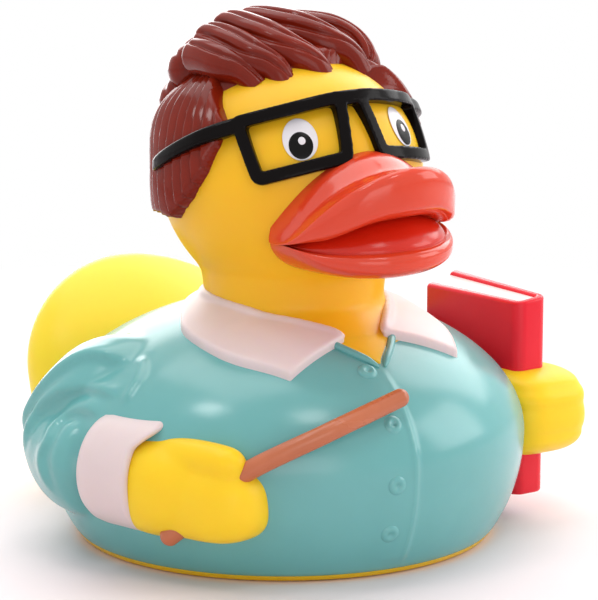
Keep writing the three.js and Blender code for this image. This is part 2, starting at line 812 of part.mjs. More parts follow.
function vent() {
  const bore = new THREE.CylinderGeometry(VENT_DIAMETER / 2, VENT_DIAMETER / 2, 3 * WALL, 16);
  return solid(bore.rotateX(Math.PI / 2).translate(0, VENT_BACK, 0), "skin");
}

const arms = Object.values(ARMS);
const hands = [fist(ARMS.right), grip(ARMS.left)];
const buttons = [0, 1, 2].map(button);
const clothes = join(shirt(), collar(), ...arms.map(sleeve), ...arms.map(cuff), placket(), ...buttons);
const bird = join(base(), tail(), neck(), skull(), hair(), beak(), throat(), ...hands);
const whole = join(bird, clothes, glasses(), pointer(), book()).subtract(cavity()).subtract(vent());

// The joined solid as one three.js mesh, with a material group for each field of paint.
function painted(name, joined) {
  const data = joined.getMesh();
  const geometry = new THREE.BufferGeometry();
  geometry.setAttribute("position", new THREE.BufferAttribute(new Float32Array(data.vertProperties), 3));
  geometry.setIndex(new THREE.BufferAttribute(new Uint32Array(data.triVerts), 1));
  for (let run = 0; run < data.runOriginalID.length; run++) {
    const start = data.runIndex[run];
    const paint = paintOfRun.get(data.runOriginalID[run]) ?? 0;
    geometry.addGroup(start, data.runIndex[run + 1] - start, paint);
  }
  const flat = geometry.toNonIndexed();
  flat.computeVertexNormals();
  const mesh = new THREE.Mesh(flat, Object.values(PAINTS));
  mesh.name = name;
  return mesh;
}

const duck = new THREE.Group();
duck.name = "bath_duck";
duck.add(painted("duck_body", whole));

export default duck;
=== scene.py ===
"""Looks of a painted vinyl bath duck with a book and a pointer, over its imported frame."""

import logging
from bisect import bisect_left
from collections.abc import Callable, Sequence
from dataclasses import dataclass, field
from enum import Enum
from math import atan2, cos, degrees, exp, hypot, pi, radians, sin, sqrt, tan

import bmesh
import bpy
from mathutils import Matrix, Vector
from mathutils.bvhtree import BVHTree
from mathutils.kdtree import KDTree


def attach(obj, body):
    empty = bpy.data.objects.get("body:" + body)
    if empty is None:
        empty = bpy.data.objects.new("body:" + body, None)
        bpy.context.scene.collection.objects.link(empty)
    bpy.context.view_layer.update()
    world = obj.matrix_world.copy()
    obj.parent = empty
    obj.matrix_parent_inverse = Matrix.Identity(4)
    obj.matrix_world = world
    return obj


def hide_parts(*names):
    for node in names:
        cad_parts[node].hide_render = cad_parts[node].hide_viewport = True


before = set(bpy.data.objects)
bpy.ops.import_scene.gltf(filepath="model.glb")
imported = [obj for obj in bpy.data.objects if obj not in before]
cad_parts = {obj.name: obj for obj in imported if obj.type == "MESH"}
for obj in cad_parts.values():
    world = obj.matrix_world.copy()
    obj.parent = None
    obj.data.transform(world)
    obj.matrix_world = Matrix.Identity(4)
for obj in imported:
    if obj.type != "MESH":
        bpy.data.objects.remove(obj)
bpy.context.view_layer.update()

LOG = logging.getLogger("bath_duck")
NODE = "duck_body"
MM = 0.001  # every shape is made in millimetres and finished in metres

Mesh = bmesh.types.BMesh
Move = Callable[[Vector], Vector]
Line = Sequence[tuple[float, float, float]]
BarSize = Callable[[float, float], tuple[float, float]]


class Slot(Enum):
    """Material slots of the record that the finishes belong to."""

    YELLOW = "yellow_vinyl"
    AQUA = "aqua_paint"
    WHITE = "white_paint"
    BROWN = "brown_paint"
    BLACK = "black_paint"
    ORANGE = "orange_paint"
    TAN = "tan_paint"
    RED = "red_paint"


class Side(Enum):
    """The duck's own sides, as the sign of X."""

    RIGHT = -1
    LEFT = 1


def linear(colour: str) -> tuple[float, float, float, float]:
    """Turn a written sRGB colour into the linear one that sockets take.

    Args:
        colour: Six hexadecimal digits after a hash.

    Returns:
        Linear red, green, blue and full alpha.
    """
    parts = [int(colour[i : i + 2], 16) / 255 for i in (1, 3, 5)]
    bent = [p / 12.92 if p <= 0.04045 else ((p + 0.055) / 1.055) ** 2.4 for p in parts]
    return (bent[0], bent[1], bent[2], 1.0)


def clamp(value: float, low: float = 0.0, high: float = 1.0) -> float:
    """Keep a value between two limits."""
    return max(low, min(high, value))


def mix(start: float, end: float, share: float) -> float:
    """Blend two values."""
    return start + (end - start) * share


def smooth(value: float, low: float, high: float) -> float:
    """Ease from 0 at low to 1 at high."""
    share = clamp((value - low) / (high - low))
    return share * share * (3 - 2 * share)


def squared(value: float, power: float) -> float:
    """Power that keeps the value's sign."""
    return (1 if value > 0 else -1) * abs(value) ** power


def bump(value: float, middle: float, width: float) -> float:
    """Soft hill of height 1 round a middle value."""
    return exp(-(((value - middle) / width) ** 2))


# Node groups


def new_group(name: str, inputs: Sequence[tuple], outputs: Sequence[tuple]) -> bpy.types.NodeTree:
    """Start a shader node group with named sockets.

    Args:
        name: Name of the group.
        inputs: Pairs of socket name and socket type, with a default where it has one.
        outputs: Pairs of socket name and socket type.

    Returns:
        The group's node tree, with its input and output nodes in it.
    """
    tree = bpy.data.node_groups.new(name, "ShaderNodeTree")
    for label, kind, default in inputs:
        socket = tree.interface.new_socket(label, in_out="INPUT", socket_type=kind)
        socket.default_value = default
    for label, kind in outputs:
        tree.interface.new_socket(label, in_out="OUTPUT", socket_type=kind)
    tree.nodes.new("NodeGroupInput")
    tree.nodes.new("NodeGroupOutput")
    return tree


def node(tree: bpy.types.NodeTree, kind: str, **values: object) -> bpy.types.Node:
    """Add a node and set its properties and the defaults of its inputs.

    Args:
        tree: Tree that takes the node.
        kind: Node type.
        values: Property names, or input names with an underscore for a space.

    Returns:
        The new node.
    """
    made = tree.nodes.new(kind)
    for label, value in values.items():
        if hasattr(made, label):
            setattr(made, label, value)
        else:
            made.inputs[label.replace("_", " ")].default_value = value
    return made


def wire(tree: bpy.types.NodeTree, *wires: tuple) -> None:
    """Link nodes of a tree.

    Args:
        tree: Tree that holds the nodes.
        wires: Rows of a node, its output, the node that takes it and that one's input.
    """
    for start, out, end, into in wires:
        tree.links.new(start.outputs[out], end.inputs[into])


def tone_group() -> bpy.types.NodeTree:
    """Colour that drifts between two tones, as sprayed paint on vinyl does.

    Returns:
        The node group, made once.
    """
    if "sprayed_tone" in bpy.data.node_groups:
        return bpy.data.node_groups["sprayed_tone"]
    tree = new_group(
        "sprayed_tone",
        [
            ("Tone", "NodeSocketColor", (0.8, 0.8, 0.8, 1)),
            ("Deep", "NodeSocketColor", (0.5, 0.5, 0.5, 1)),
            ("Patch", "NodeSocketFloat", 90.0),
            ("Amount", "NodeSocketFloat", 0.5),
        ],
        [("Color", "NodeSocketColor")],
    )
    nodes = tree.nodes
    start, end = nodes["Group Input"], nodes["Group Output"]
    place = node(tree, "ShaderNodeTexCoord")
    cloud = node(tree, "ShaderNodeTexNoise", Detail=4.0, Roughness=0.55)
    spread = node(tree, "ShaderNodeMapRange", From_Min=0.2, From_Max=0.8, interpolation_type="SMOOTHSTEP")
    share = node(tree, "ShaderNodeMath", operation="MULTIPLY")
    blend = node(tree, "ShaderNodeMix", data_type="RGBA")
    wire(
        tree,
        (place, "Object", cloud, "Vector"),
        (start, "Patch", cloud, "Scale"),
        (cloud, "Fac", spread, "Value"),
        (spread, "Result", share, 0),
        (start, "Amount", share, 1),
        (share, 0, blend, 0),
        (start, "Tone", blend, 6),
        (start, "Deep", blend, 7),
        (blend, 2, end, "Color"),
    )
    return tree


def skin_group() -> bpy.types.NodeTree:
    """Fine moulded orange peel and faint rubbing marks, as roughness and height.

    Returns:
        The node group, made once.
    """
    if "moulded_skin" in bpy.data.node_groups:
        return bpy.data.node_groups["moulded_skin"]
    tree = new_group(
        "moulded_skin",
        [
            ("Smooth", "NodeSocketFloat", 0.25),
            ("Rough", "NodeSocketFloat", 0.4),
            ("Peel", "NodeSocketFloat", 700.0),
            ("Marks", "NodeSocketFloat", 0.3),
        ],
        [("Roughness", "NodeSocketFloat"), ("Height", "NodeSocketFloat")],
    )
    nodes = tree.nodes
    start, end = nodes["Group Input"], nodes["Group Output"]
    place = node(tree, "ShaderNodeTexCoord")
    patches = node(tree, "ShaderNodeTexNoise", Scale=120.0, Detail=3.0)
    stretch = node(tree, "ShaderNodeMapping")
    stretch.inputs["Scale"].default_value = (70.0, 70.0, 700.0)
    stretch.inputs["Rotation"].default_value = (0.5, 0.35, 0.0)
    rub = node(tree, "ShaderNodeTexNoise", Scale=1.0, Detail=2.0)
    peel = node(tree, "ShaderNodeTexNoise", Detail=2.0)
    band = node(tree, "ShaderNodeMapRange", From_Min=0.1, From_Max=0.9, interpolation_type="SMOOTHSTEP")
    streak = node(tree, "ShaderNodeMath", operation="MULTIPLY_ADD")
    rough = node(tree, "ShaderNodeMapRange", From_Min=0.0, From_Max=1.6)
    height = node(tree, "ShaderNodeMath", operation="MULTIPLY_ADD")
    wire(
        tree,
        (place, "Object", patches, "Vector"),
        (place, "Object", stretch, "Vector"),
        (place, "Object", peel, "Vector"),
        (stretch, "Vector", rub, "Vector"),
        (start, "Peel", peel, "Scale"),
        (patches, "Fac", band, "Value"),
        (rub, "Fac", streak, 0),
        (start, "Marks", streak, 1),
        (band, "Result", streak, 2),
        (streak, 0, rough, "Value"),
        (start, "Smooth", rough, "To Min"),
        (start, "Rough", rough, "To Max"),
        (rough, "Result", end, "Roughness"),
        (rub, "Fac", height, 0),
        (start, "Marks", height, 1),
        (peel, "Fac", height, 2),
        (height, 0, end, "Height"),
    )
    return tree


@dataclass(frozen=True)
class Finish:
    """One sprayed or moulded finish of the vinyl.

    The tone drifts towards the deep one in patches. The gloss is the range of its roughness, the peel and
    the marks are its fine unevenness, the sheen is the strength of its reflection, and the glow is the
    light that passes a little way into it.
    """

    name: str
    slot: Slot
    tone: str
    deep: str
    patch: float = 60.0
    amount: float = 0.5
    gloss: tuple[float, float] = (0.26, 0.36)
    peel: float = 900.0
    marks: float = 0.2
    relief: float = 0.05
    sheen: float = 0.5
    glow: float = 0.0
    glow_reach: tuple[float, float, float] = (0.004, 0.0016, 0.0004)

    def material(self) -> bpy.types.Material:
        """Make the finish's material, once.

        Returns:
            The node material.
        """
        if self.name in bpy.data.materials:
            return bpy.data.materials[self.name]
        made = bpy.data.materials.new(self.name)
        made.use_nodes = True
        tree = made.node_tree
        shader = tree.nodes["Principled BSDF"]
        tones = {"Tone": linear(self.tone), "Deep": linear(self.deep)}
        tones |= {"Patch": self.patch, "Amount": self.amount}
        skins = {"Smooth": self.gloss[0], "Rough": self.gloss[1], "Peel": self.peel, "Marks": self.marks}
        tone = node(tree, "ShaderNodeGroup", node_tree=tone_group(), **tones)
        skin = node(tree, "ShaderNodeGroup", node_tree=skin_group(), **skins)
        relief = node(tree, "ShaderNodeBump", Strength=self.relief, Distance=0.0004)
        wire(
            tree,
            (tone, "Color", shader, "Base Color"),
            (skin, "Roughness", shader, "Roughness"),
            (skin, "Height", relief, "Height"),
            (relief, "Normal", shader, "Normal"),
        )
        shader.inputs["IOR"].default_value = 1.5
        shader.inputs["Specular IOR Level"].default_value = self.sheen
        shader.inputs["Subsurface Weight"].default_value = self.glow
        shader.inputs["Subsurface Radius"].default_value = self.glow_reach
        shader.inputs["Subsurface Scale"].default_value = 1.0
        return made


# The head's yellow is the one vinyl darkened to a deeper amber as painted shade; the throat and the base rim
# take the same painted shade.
SHADED_HEAD_VINYL = Finish(
    "head_vinyl_painted_shade", Slot.YELLOW, "#f6be22", "#f0b319", patch=35.0, gloss=(0.32, 0.42), sheen=0.25, glow=0.3
)
# The tail's paler lemon yellow is the same vinyl lightened as painted light, from the light falling on it
# from behind.
LIT_TAIL_VINYL = Finish(
    "tail_vinyl_painted_light", Slot.YELLOW, "#f7dc38", "#f4d02c", patch=35.0, gloss=(0.32, 0.42), sheen=0.25, glow=0.3
)
# The hands' yellow is the same vinyl made lighter than the head's as painted light.
LIT_HAND_VINYL = Finish(
    "hand_vinyl_painted_light", Slot.YELLOW, "#fad126", "#f6c41a", patch=60.0, gloss=(0.34, 0.44), sheen=0.25, glow=0.3
)
SHIRT_PAINT = Finish(
    "shirt_paint", Slot.AQUA, "#68adac", "#5a9e9d", patch=55.0, gloss=(0.17, 0.28), peel=420.0, marks=0.3,
    relief=0.03, sheen=0.6, glow=0.05,
)
LINEN_PAINT = Finish(
    "linen_paint", Slot.WHITE, "#e0cfcf", "#d5c2c2", patch=70.0, gloss=(0.3, 0.42), sheen=0.35, glow=0.1
)
HAIR_PAINT = Finish(
    "hair_paint", Slot.BROWN, "#7f200e", "#5c1304", patch=140.0, gloss=(0.1, 0.2), peel=500.0, sheen=0.22
)
FRAME_PAINT = Finish(
    "frame_paint", Slot.BLACK, "#0d0909", "#080505", patch=120.0, gloss=(0.12, 0.2), sheen=0.08
)
BEAK_PAINT = Finish(
    "beak_paint", Slot.ORANGE, "#da4224", "#cd3318", patch=80.0, gloss=(0.1, 0.2), sheen=0.5, glow=0.1
)
MOUTH_PAINT = Finish(
    "mouth_paint", Slot.ORANGE, "#d42810", "#c41c0a", patch=80.0, gloss=(0.18, 0.26), sheen=0.4, glow=0.1
)
POINTER_PAINT = Finish(
    "pointer_paint", Slot.TAN, "#bf6b46", "#ab5a37", patch=160.0, gloss=(0.22, 0.32), marks=0.4
)
BOOK_PAINT = Finish(
    "book_paint", Slot.RED, "#e52233", "#d81a2a", patch=90.0, gloss=(0.18, 0.26), sheen=0.25
)
PAGE_PAINT = Finish("page_paint", Slot.WHITE, "#ebdddd", "#e2d0d0", patch=90.0, gloss=(0.3, 0.4), sheen=0.3)
EYE_WHITE = Finish("eye_white", Slot.WHITE, "#e6e3e7", "#dbd8dd", patch=200.0, gloss=(0.22, 0.3), sheen=0.3)
EYE_BLACK = Finish("eye_black", Slot.BLACK, "#0a0808", "#060404", patch=200.0, gloss=(0.2, 0.3), sheen=0.15)


# Modelling helpers


def reshape(bm: Mesh, move: Move) -> Mesh:
    """Move every vertex of a mesh by a rule.

    Args:
        bm: Mesh to change.
        move: Gives a vertex's new place from its old one.

    Returns:
        The same mesh.
    """
    for vertex in bm.verts:
        vertex.co = move(vertex.co)
    return bm


def ball(segments: int, rings: int) -> Mesh:
    """Unit ball with its poles on Z.

    Args:
        segments: Faces round it.
        rings: Faces from pole to pole.

    Returns:
        The ball.
    """
    bm = bmesh.new()
    bmesh.ops.create_uvsphere(bm, u_segments=segments, v_segments=rings, radius=1.0)
    return bm


def turned(profile: Sequence[tuple[float, float]], segments: int) -> Mesh:
    """Turn a profile of radius and height about Z.

    Args:
        profile: Points from the axis at one end to the axis at the other.
        segments: Faces round the turn.

    Returns:
        The closed turned mesh.
    """
    bm = bmesh.new()
    line = [bm.verts.new((radius, 0.0, height)) for radius, height in profile]
    edges = [bm.edges.new(pair) for pair in zip(line, line[1:])]
    bmesh.ops.spin(
        bm, geom=line + edges, cent=(0, 0, 0), axis=(0, 0, 1), angle=2 * pi, steps=segments, use_merge=True
    )
    bmesh.ops.remove_doubles(bm, verts=bm.verts, dist=1e-4)
    bmesh.ops.recalc_face_normals(bm, faces=bm.faces)
    return bm


class Path:
    """Smooth line through a few points, read by its length."""

    def __init__(self, points: Sequence[Sequence[float]], steps: int = 24) -> None:
        """Sample a centripetal spline through the points.

        Args:
            points: Points that the line passes through.
            steps: Samples between two points.
        """
        knots = [Vector(p) for p in points]
        knots = [2 * knots[0] - knots[1], *knots, 2 * knots[-1] - knots[-2]]
        self.samples: list[Vector] = []
        for a, b, c, d in zip(knots, knots[1:], knots[2:], knots[3:]):
            self.samples += [self._between(a, b, c, d, i / steps) for i in range(steps)]
        self.samples.append(knots[-2])
        self.lengths = [0.0]
        for start, end in zip(self.samples, self.samples[1:]):
            self.lengths.append(self.lengths[-1] + (end - start).length)

    @staticmethod
    def _between(a: Vector, b: Vector, c: Vector, d: Vector, share: float) -> Vector:
        """Point of the spline's stretch from b to c.

        Args:
            a: Knot before the stretch.
            b: Knot that it starts at.
            c: Knot that it ends at.
            d: Knot after it.
            share: How far along it the point is.

        Returns:
            The point.
        """
        gaps = [max(sqrt((q - p).length), 1e-4) for p, q in ((a, b), (b, c), (c, d))]
        out = (b - a) / gaps[0] - (c - a) / (gaps[0] + gaps[1]) + (c - b) / gaps[1]
        into = (c - b) / gaps[1] - (d - b) / (gaps[1] + gaps[2]) + (d - c) / gaps[2]
        out, into = out * gaps[1], into * gaps[1]
        t = share
        return (
            b * (2 * t**3 - 3 * t**2 + 1) + out * (t**3 - 2 * t**2 + t) + c * (3 * t**2 - 2 * t**3)
            + into * (t**3 - t**2)
        )

    def at(self, share: float) -> Vector:
        """Point at a share of the length.

        Args:
            share: Share from 0 to 1; past either end it stays there.

        Returns:
            The point.
        """
        want = clamp(share) * self.lengths[-1]
        i = max(bisect_left(self.lengths, want) - 1, 0)
        gap = self.lengths[i + 1] - self.lengths[i]
        return self.samples[i].lerp(self.samples[i + 1], (want - self.lengths[i]) / max(gap, 1e-9))

    def ahead(self, share: float) -> Vector:
        """Direction at a share of the length."""
        return (self.at(share + 0.01) - self.at(share - 0.01)).normalized()


def rounded(share: float, reach: float) -> float:
    """Width that rounds a bar's ends off over a share of its length."""
    inside = clamp(min(share, 1 - share) / reach)
    return sqrt(max(1 - (1 - inside) ** 2, 0.0004))


def round_bar(radius: float, reach: float, taper: tuple[float, float] = (1.0, 1.0)) -> BarSize:
    """Size of a round bar with rounded ends.

    Args:
        radius: Its radius.
        reach: Share of its length that each end is rounded over.
        taper: Share of the radius at its start and at its end.

    Returns:
        Half width and half height by a share of the length and an angle round the bar.
    """

    def size(share: float, _: float) -> tuple[float, float]:
        """Same width and height at a share of the length."""
        return (radius * mix(*taper, share) * rounded(share, reach),) * 2

    return size


def softened(bm: Mesh, passes: int) -> Mesh:
    """Smooth every vertex of a mesh.

    Args:
        bm: Mesh to change.
        passes: Rounds of smoothing.

    Returns:
        The same mesh.
    """
    for _ in range(passes):
        bmesh.ops.smooth_vert(
            bm, verts=bm.verts, factor=0.5, use_axis_x=True, use_axis_y=True, use_axis_z=True
        )
    return bm


def sweep(
    path: Path,
    size: BarSize,
    sides: int = 32,
    steps: int = 60,
    up: Vector = Vector((0, 0, 1)),
) -> Mesh:
    """Bar along a path.

    Args:
        path: Middle line.
        size: Half width and half height at a share of the length and an angle round the bar.
        sides: Faces round the bar.
        steps: Faces along it.
        up: Direction that the height is measured in.

    Returns:
        The closed bar.
    """
    bm = bmesh.new()
    bmesh.ops.create_cone(bm, cap_ends=True, segments=sides, radius1=1, radius2=1, depth=2)
    along = [edge for edge in bm.edges if abs(edge.verts[0].co.z - edge.verts[1].co.z) > 1]
    bmesh.ops.subdivide_edges(bm, edges=along, cuts=steps - 1, use_grid_fill=True)

    def move(point: Vector) -> Vector:
        """Place a point of the straight bar on the path.

        Args:
            point: Vertex of the bar, which stands on Z.

        Returns:
            Its place round the path.
        """
        share = (1 - cos(pi * (point.z + 1) / 2)) / 2
        ahead = path.ahead(share)
        side = ahead.cross(up).normalized()
        wide, high = size(share, atan2(point.y, point.x))
        return path.at(share) + side * (point.x * wide) + side.cross(ahead) * (point.y * high)

    reshape(bm, move)
    bmesh.ops.recalc_face_normals(bm, faces=bm.faces)
    return bm


def joined(parts: Sequence[Mesh]) -> Mesh:
    """Put meshes together in a new one.

    Args:
        parts: Meshes, freed here.

    Returns:
        One new mesh of them all.
    """
    whole = bmesh.new()
    for part in parts:
        mesh = bpy.data.meshes.new("part")
        part.to_mesh(mesh)
        part.free()
        whole.from_mesh(mesh)
        bpy.data.meshes.remove(mesh)
    return whole


def fused(parts: Sequence[Mesh], grain: float, passes: int) -> Mesh:
    """Melt overlapping closed meshes into one skin with soft creases.

    Args:
        parts: Closed meshes in millimetres.
        grain: Size of the remeshed faces.
        passes: Rounds of smoothing.

    Returns:
        The new mesh.
    """
    whole = joined(parts)
    mesh = bpy.data.meshes.new("fused")
    whole.to_mesh(mesh)
    whole.free()
    lump = bpy.data.objects.new("fused", mesh)
    bpy.context.scene.collection.objects.link(lump)
    remesh = lump.modifiers.new("remesh", "REMESH")
    remesh.mode = "VOXEL"
    remesh.voxel_size = grain
    depsgraph = bpy.context.evaluated_depsgraph_get()
    skin = bmesh.new()
    skin.from_object(lump, depsgraph)
    bpy.data.objects.remove(lump)
    bpy.data.meshes.remove(mesh)
    return softened(skin, passes)


def placed(bm: Mesh, matrix: Matrix) -> Mesh:
    """Put a mesh through a matrix."""
    bmesh.ops.transform(bm, matrix=matrix, verts=bm.verts)
    return bm


def piece(bm: Mesh, name: str, finish: Finish) -> bpy.types.Object:
    """Finish a mesh in millimetres as a piece that stands for the moulding.

    Args:
        bm: Mesh, freed here.
        name: Name of the piece.
        finish: Its finish.

    Returns:
        The piece, riding on the root body.
    """
    bmesh.ops.scale(bm, vec=Vector((MM, MM, MM)), verts=bm.verts)
    mesh = bpy.data.meshes.new(name)
    bm.to_mesh(mesh)
    bm.free()
    mesh.polygons.foreach_set("use_smooth", [True] * len(mesh.polygons))
    mesh.materials.append(finish.material())
    made = bpy.data.objects.new(name, mesh)
    bpy.context.scene.collection.objects.link(made)
    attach(made, "root")
    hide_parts(NODE)
    LOG.info("%s: %d faces", name, len(mesh.polygons))
    return made


# Body


@dataclass
class BodyForm:
    """Turned form of the shirt, from its base to the shoulders."""

    radius: float = 42.0
    height: float = 42.0
    belly: float = 18.0
    base_share: float = 0.85
    top: float = 40.5
    below: float = 0.8
    above: float = 0.526

    def share(self, height: float) -> float:
        """Radius at a height, as a share of the belly's.

        Args:
            height: Height above the base.

        Returns:
            The share, from 0 to 1.
        """
        if height < self.belly:
            rise = clamp(height / self.belly)
            return self.base_share + (1 - self.base_share) * sin(pi / 2 * rise**self.below)
        rise = clamp((height - self.belly) / (self.height - self.belly))
        return (1 - rise**2) ** self.above

    def point(self, turn: float, height: float, lift: float = 0.0) -> Vector:
        """Point on the shirt.

        Args:
            turn: Degrees from the front towards the left hand.
            height: Height above the base.
            lift: Distance off the surface.

        Returns:
            The point in millimetres.
        """
        slope = (self.share(height + 0.5) - self.share(height - 0.5)) * self.radius
        out = lift / hypot(1, slope)
        reach = self.radius * self.share(height) + out
        return Vector((sin(radians(turn)) * reach, -cos(radians(turn)) * reach, height - out * slope))

    def shoulder(self, x: float, y: float) -> float:
        """Height of the upper surface over a point of the plan."""
        share = clamp(hypot(x, y) / self.radius)
        return mix(self.belly, self.height, sqrt(1 - share ** (1 / self.above)))

    def profile(self, low: float, high: float, steps: int) -> list[tuple[float, float]]:
        """Closed profile between two heights.

        Args:
            low: Lower height.
            high: Upper height.
            steps: Stretches between them.

        Returns:
            Points of radius and height from axis to axis.
        """
        rises = [sin(pi / 2 * i / steps) for i in range(steps + 1)]
        heights = [mix(low, high, rise) for rise in rises]
        return [(0, low), *((self.radius * self.share(h), h) for h in heights), (0, high)]


BODY = BodyForm()


@dataclass
class Fold:
    """Crest of one roll of the sleeve, which laps over the next one."""

    line: Line
    height: float = 0.95
    roll: float = 2.3
    step: float = 0.45
    reach: float = 9.0
    samples: int = 90

    def press(self, bm: Mesh, side: Side) -> None:
        """Raise the roll on the skin under its crest.

        Args:
            bm: Skin of the shirt.
            side: Arm that the fold is on; the crest is written for the right one.
        """
        skin = BVHTree.FromBMesh(bm)
        across = 1 if side is Side.RIGHT else -1
        path = Path([(across * x, y, z) for x, y, z in self.line])
        last = self.samples
        crest = [skin.find_nearest(path.at(i / last))[:2] for i in range(last + 1)]
        near = KDTree(len(crest))
        for i, (place, _) in enumerate(crest):
            near.insert(place, i)
        near.balance()
        for vertex in bm.verts:
            _, i, distance = near.find(vertex.co)
            if distance > self.reach:
                continue
            place, out = crest[i]
            along = (crest[min(i + 1, last)][0] - crest[max(i - 1, 0)][0]).normalized()
            off = (vertex.co - place).dot(out.cross(along)) * -across
            beyond = abs((vertex.co - place).dot(along))
            width = self.roll if off > 0 else self.step
            fade = smooth(min(i, last - i) / last, 0, 0.2) * bump(beyond, 0, 1.5)
            hollow = 0.2 * bump(off, -1.6, 0.9)
            vertex.co += vertex.normal * (self.height * fade * (bump(off, 0, width) - hollow))


@dataclass
class Shirt:
    """Body of the shirt with both sleeves melted into it, its placket and its buttons."""

    hem: float = 0.8
    sleeve: float = 9.0
    sleeve_taper: tuple[float, float] = (0.93, 1.02)
    placket_step: float = 0.3
    placket_seam: float = 0.2
    placket_turn: float = -1.8
    per_degree: float = 0.73
    button: float = 1.75
    right_arm: Line = (
        (-23.5, -1, 27.6), (-31.1, 8, 27), (-34.2, 13.9, 18.5), (-36.5, 6.7, 15.5), (-37.2, -5.5, 16.8),
    )
    left_arm: Line = (
        (24, -1, 27.5), (31.1, 8.8, 26), (34.2, 17.6, 18.5), (39.1, 11.8, 16), (42.8, 2.5, 18.9),
    )
    folds: Sequence[Fold] = (
        Fold(
            (
                (-31, -3, 34.2), (-33.4, -1.2, 34), (-35.3, 2.3, 34.4), (-36.6, 5.8, 33.1),
                (-38.3, 8.5, 31.1), (-39.6, 11.2, 28.6), (-40.5, 14.5, 25.1), (-40.6, 17, 21), (-40, 19, 16),
            ),
        ),
        Fold(
            (
                (-36.4, -8.4, 28.2), (-37.3, -1.2, 28.6), (-37.9, 3.7, 28.3), (-39.5, 6.4, 27.5),
                (-40.8, 9.1, 26), (-41.5, 11.8, 23.5), (-42.3, 13, 20), (-42, 14, 15),
            ),
        ),
        Fold(
            (
                (-39.1, -6.4, 25.9), (-39.7, 0.3, 25.4), (-40.5, 3.5, 23.7), (-42.5, 4, 22),
                (-44.5, 3.1, 20.3), (-45.3, 3.6, 17.4), (-46.1, 1.6, 14), (-44.5, 0.5, 10.5),
            ),
            height=0.85, roll=2.6, step=0.6,
        ),
        Fold(
            ((-30.6, -3, 34.2), (-31.4, -5.6, 33.2), (-33.2, -7.8, 31.4), (-35.6, -8.6, 29), (-37, -9, 27)),
            height=0.55, roll=1.0, step=0.6,
        ),
    )
    button_places: Sequence[tuple[float, float]] = ((-7.8, 8.3), (-7.2, 16.6), (-6.5, 26.0), (-7.5, 33.4))

    def body(self) -> Mesh:
        """Melt the turned body and the sleeves together and press the folds in.

        Returns:
            The skin of the shirt.
        """
        size = round_bar(self.sleeve, reach=0.12, taper=self.sleeve_taper)
        across = Vector((1, 0, 0))
        parts = [turned(BODY.profile(self.hem, BODY.top, steps=70), segments=192)]
        arms = [Path(self.right_arm), Path(self.left_arm)]
        parts += [sweep(arm, size, sides=40, steps=60, up=across) for arm in arms]
        skin = fused(parts, grain=0.5, passes=8)
        for side in Side:
            for fold in self.folds if side is Side.RIGHT else self.folds[1:3]:
                skin.normal_update()
                fold.press(skin, side)
        return softened(skin, passes=2)

    def press_placket(self, point: Vector) -> Vector:
        """Raise the overlapping front edge with its seam.

        Args:
            point: Vertex of the skin.

        Returns:
            Its place, moved only near the front.
        """
        if point.y > -20 or point.z > 35:
            return point
        turn = degrees(atan2(point.x, -point.y))
        off = (turn - self.placket_turn) * self.per_degree
        over = smooth(-off, -0.3, 0.3) * smooth(turn, -15, -4)
        fade = smooth(point.z, 1.5, 4) * (1 - smooth(point.z, 30, 34))
        out = Vector((point.x, point.y, 0)).normalized()
        return point + out * ((self.placket_step * over + self.placket_seam * bump(off, -0.4, 0.55)) * fade)

    def buttons(self) -> list[Mesh]:
        """Low round buttons with a dimple, down the front.

        Returns:
            One mesh for each button.
        """

        def dimpled(point: Vector) -> Vector:
            """Press the middle of the upper side in."""
            depth = 0.55 * bump(hypot(point.x, point.y), 0, 0.34) * (point.z > 0)
            return Vector((point.x, point.y, point.z - depth))

        made = []
        for turn, height in self.button_places:
            middle = BODY.point(turn, height, -0.25)
            out = (BODY.point(turn, height, 1.0) - middle).normalized()
            button = reshape(ball(segments=40, rings=30), dimpled)
            bmesh.ops.scale(button, vec=(self.button, self.button, 0.95), verts=button.verts)
            turn_to = out.to_track_quat("Z", "Y").to_matrix().to_4x4()
            made.append(placed(button, Matrix.Translation(middle) @ turn_to))
        return made

    def build(self) -> None:
        """Make the shirt's pieces and the bare rim under it."""
        shirt = reshape(self.body(), self.press_placket)
        piece(shirt, "shirt", SHIRT_PAINT)
        piece(joined(self.buttons()), "shirt_buttons", SHIRT_PAINT)
        foot = [(0, 0), (BODY.radius * BODY.base_share - 0.5, 0)]
        rim = turned([*foot, *BODY.profile(0.25, self.hem + 0.3, steps=6)[1:]], segments=160)
        piece(rim, "base_rim", SHADED_HEAD_VINYL)


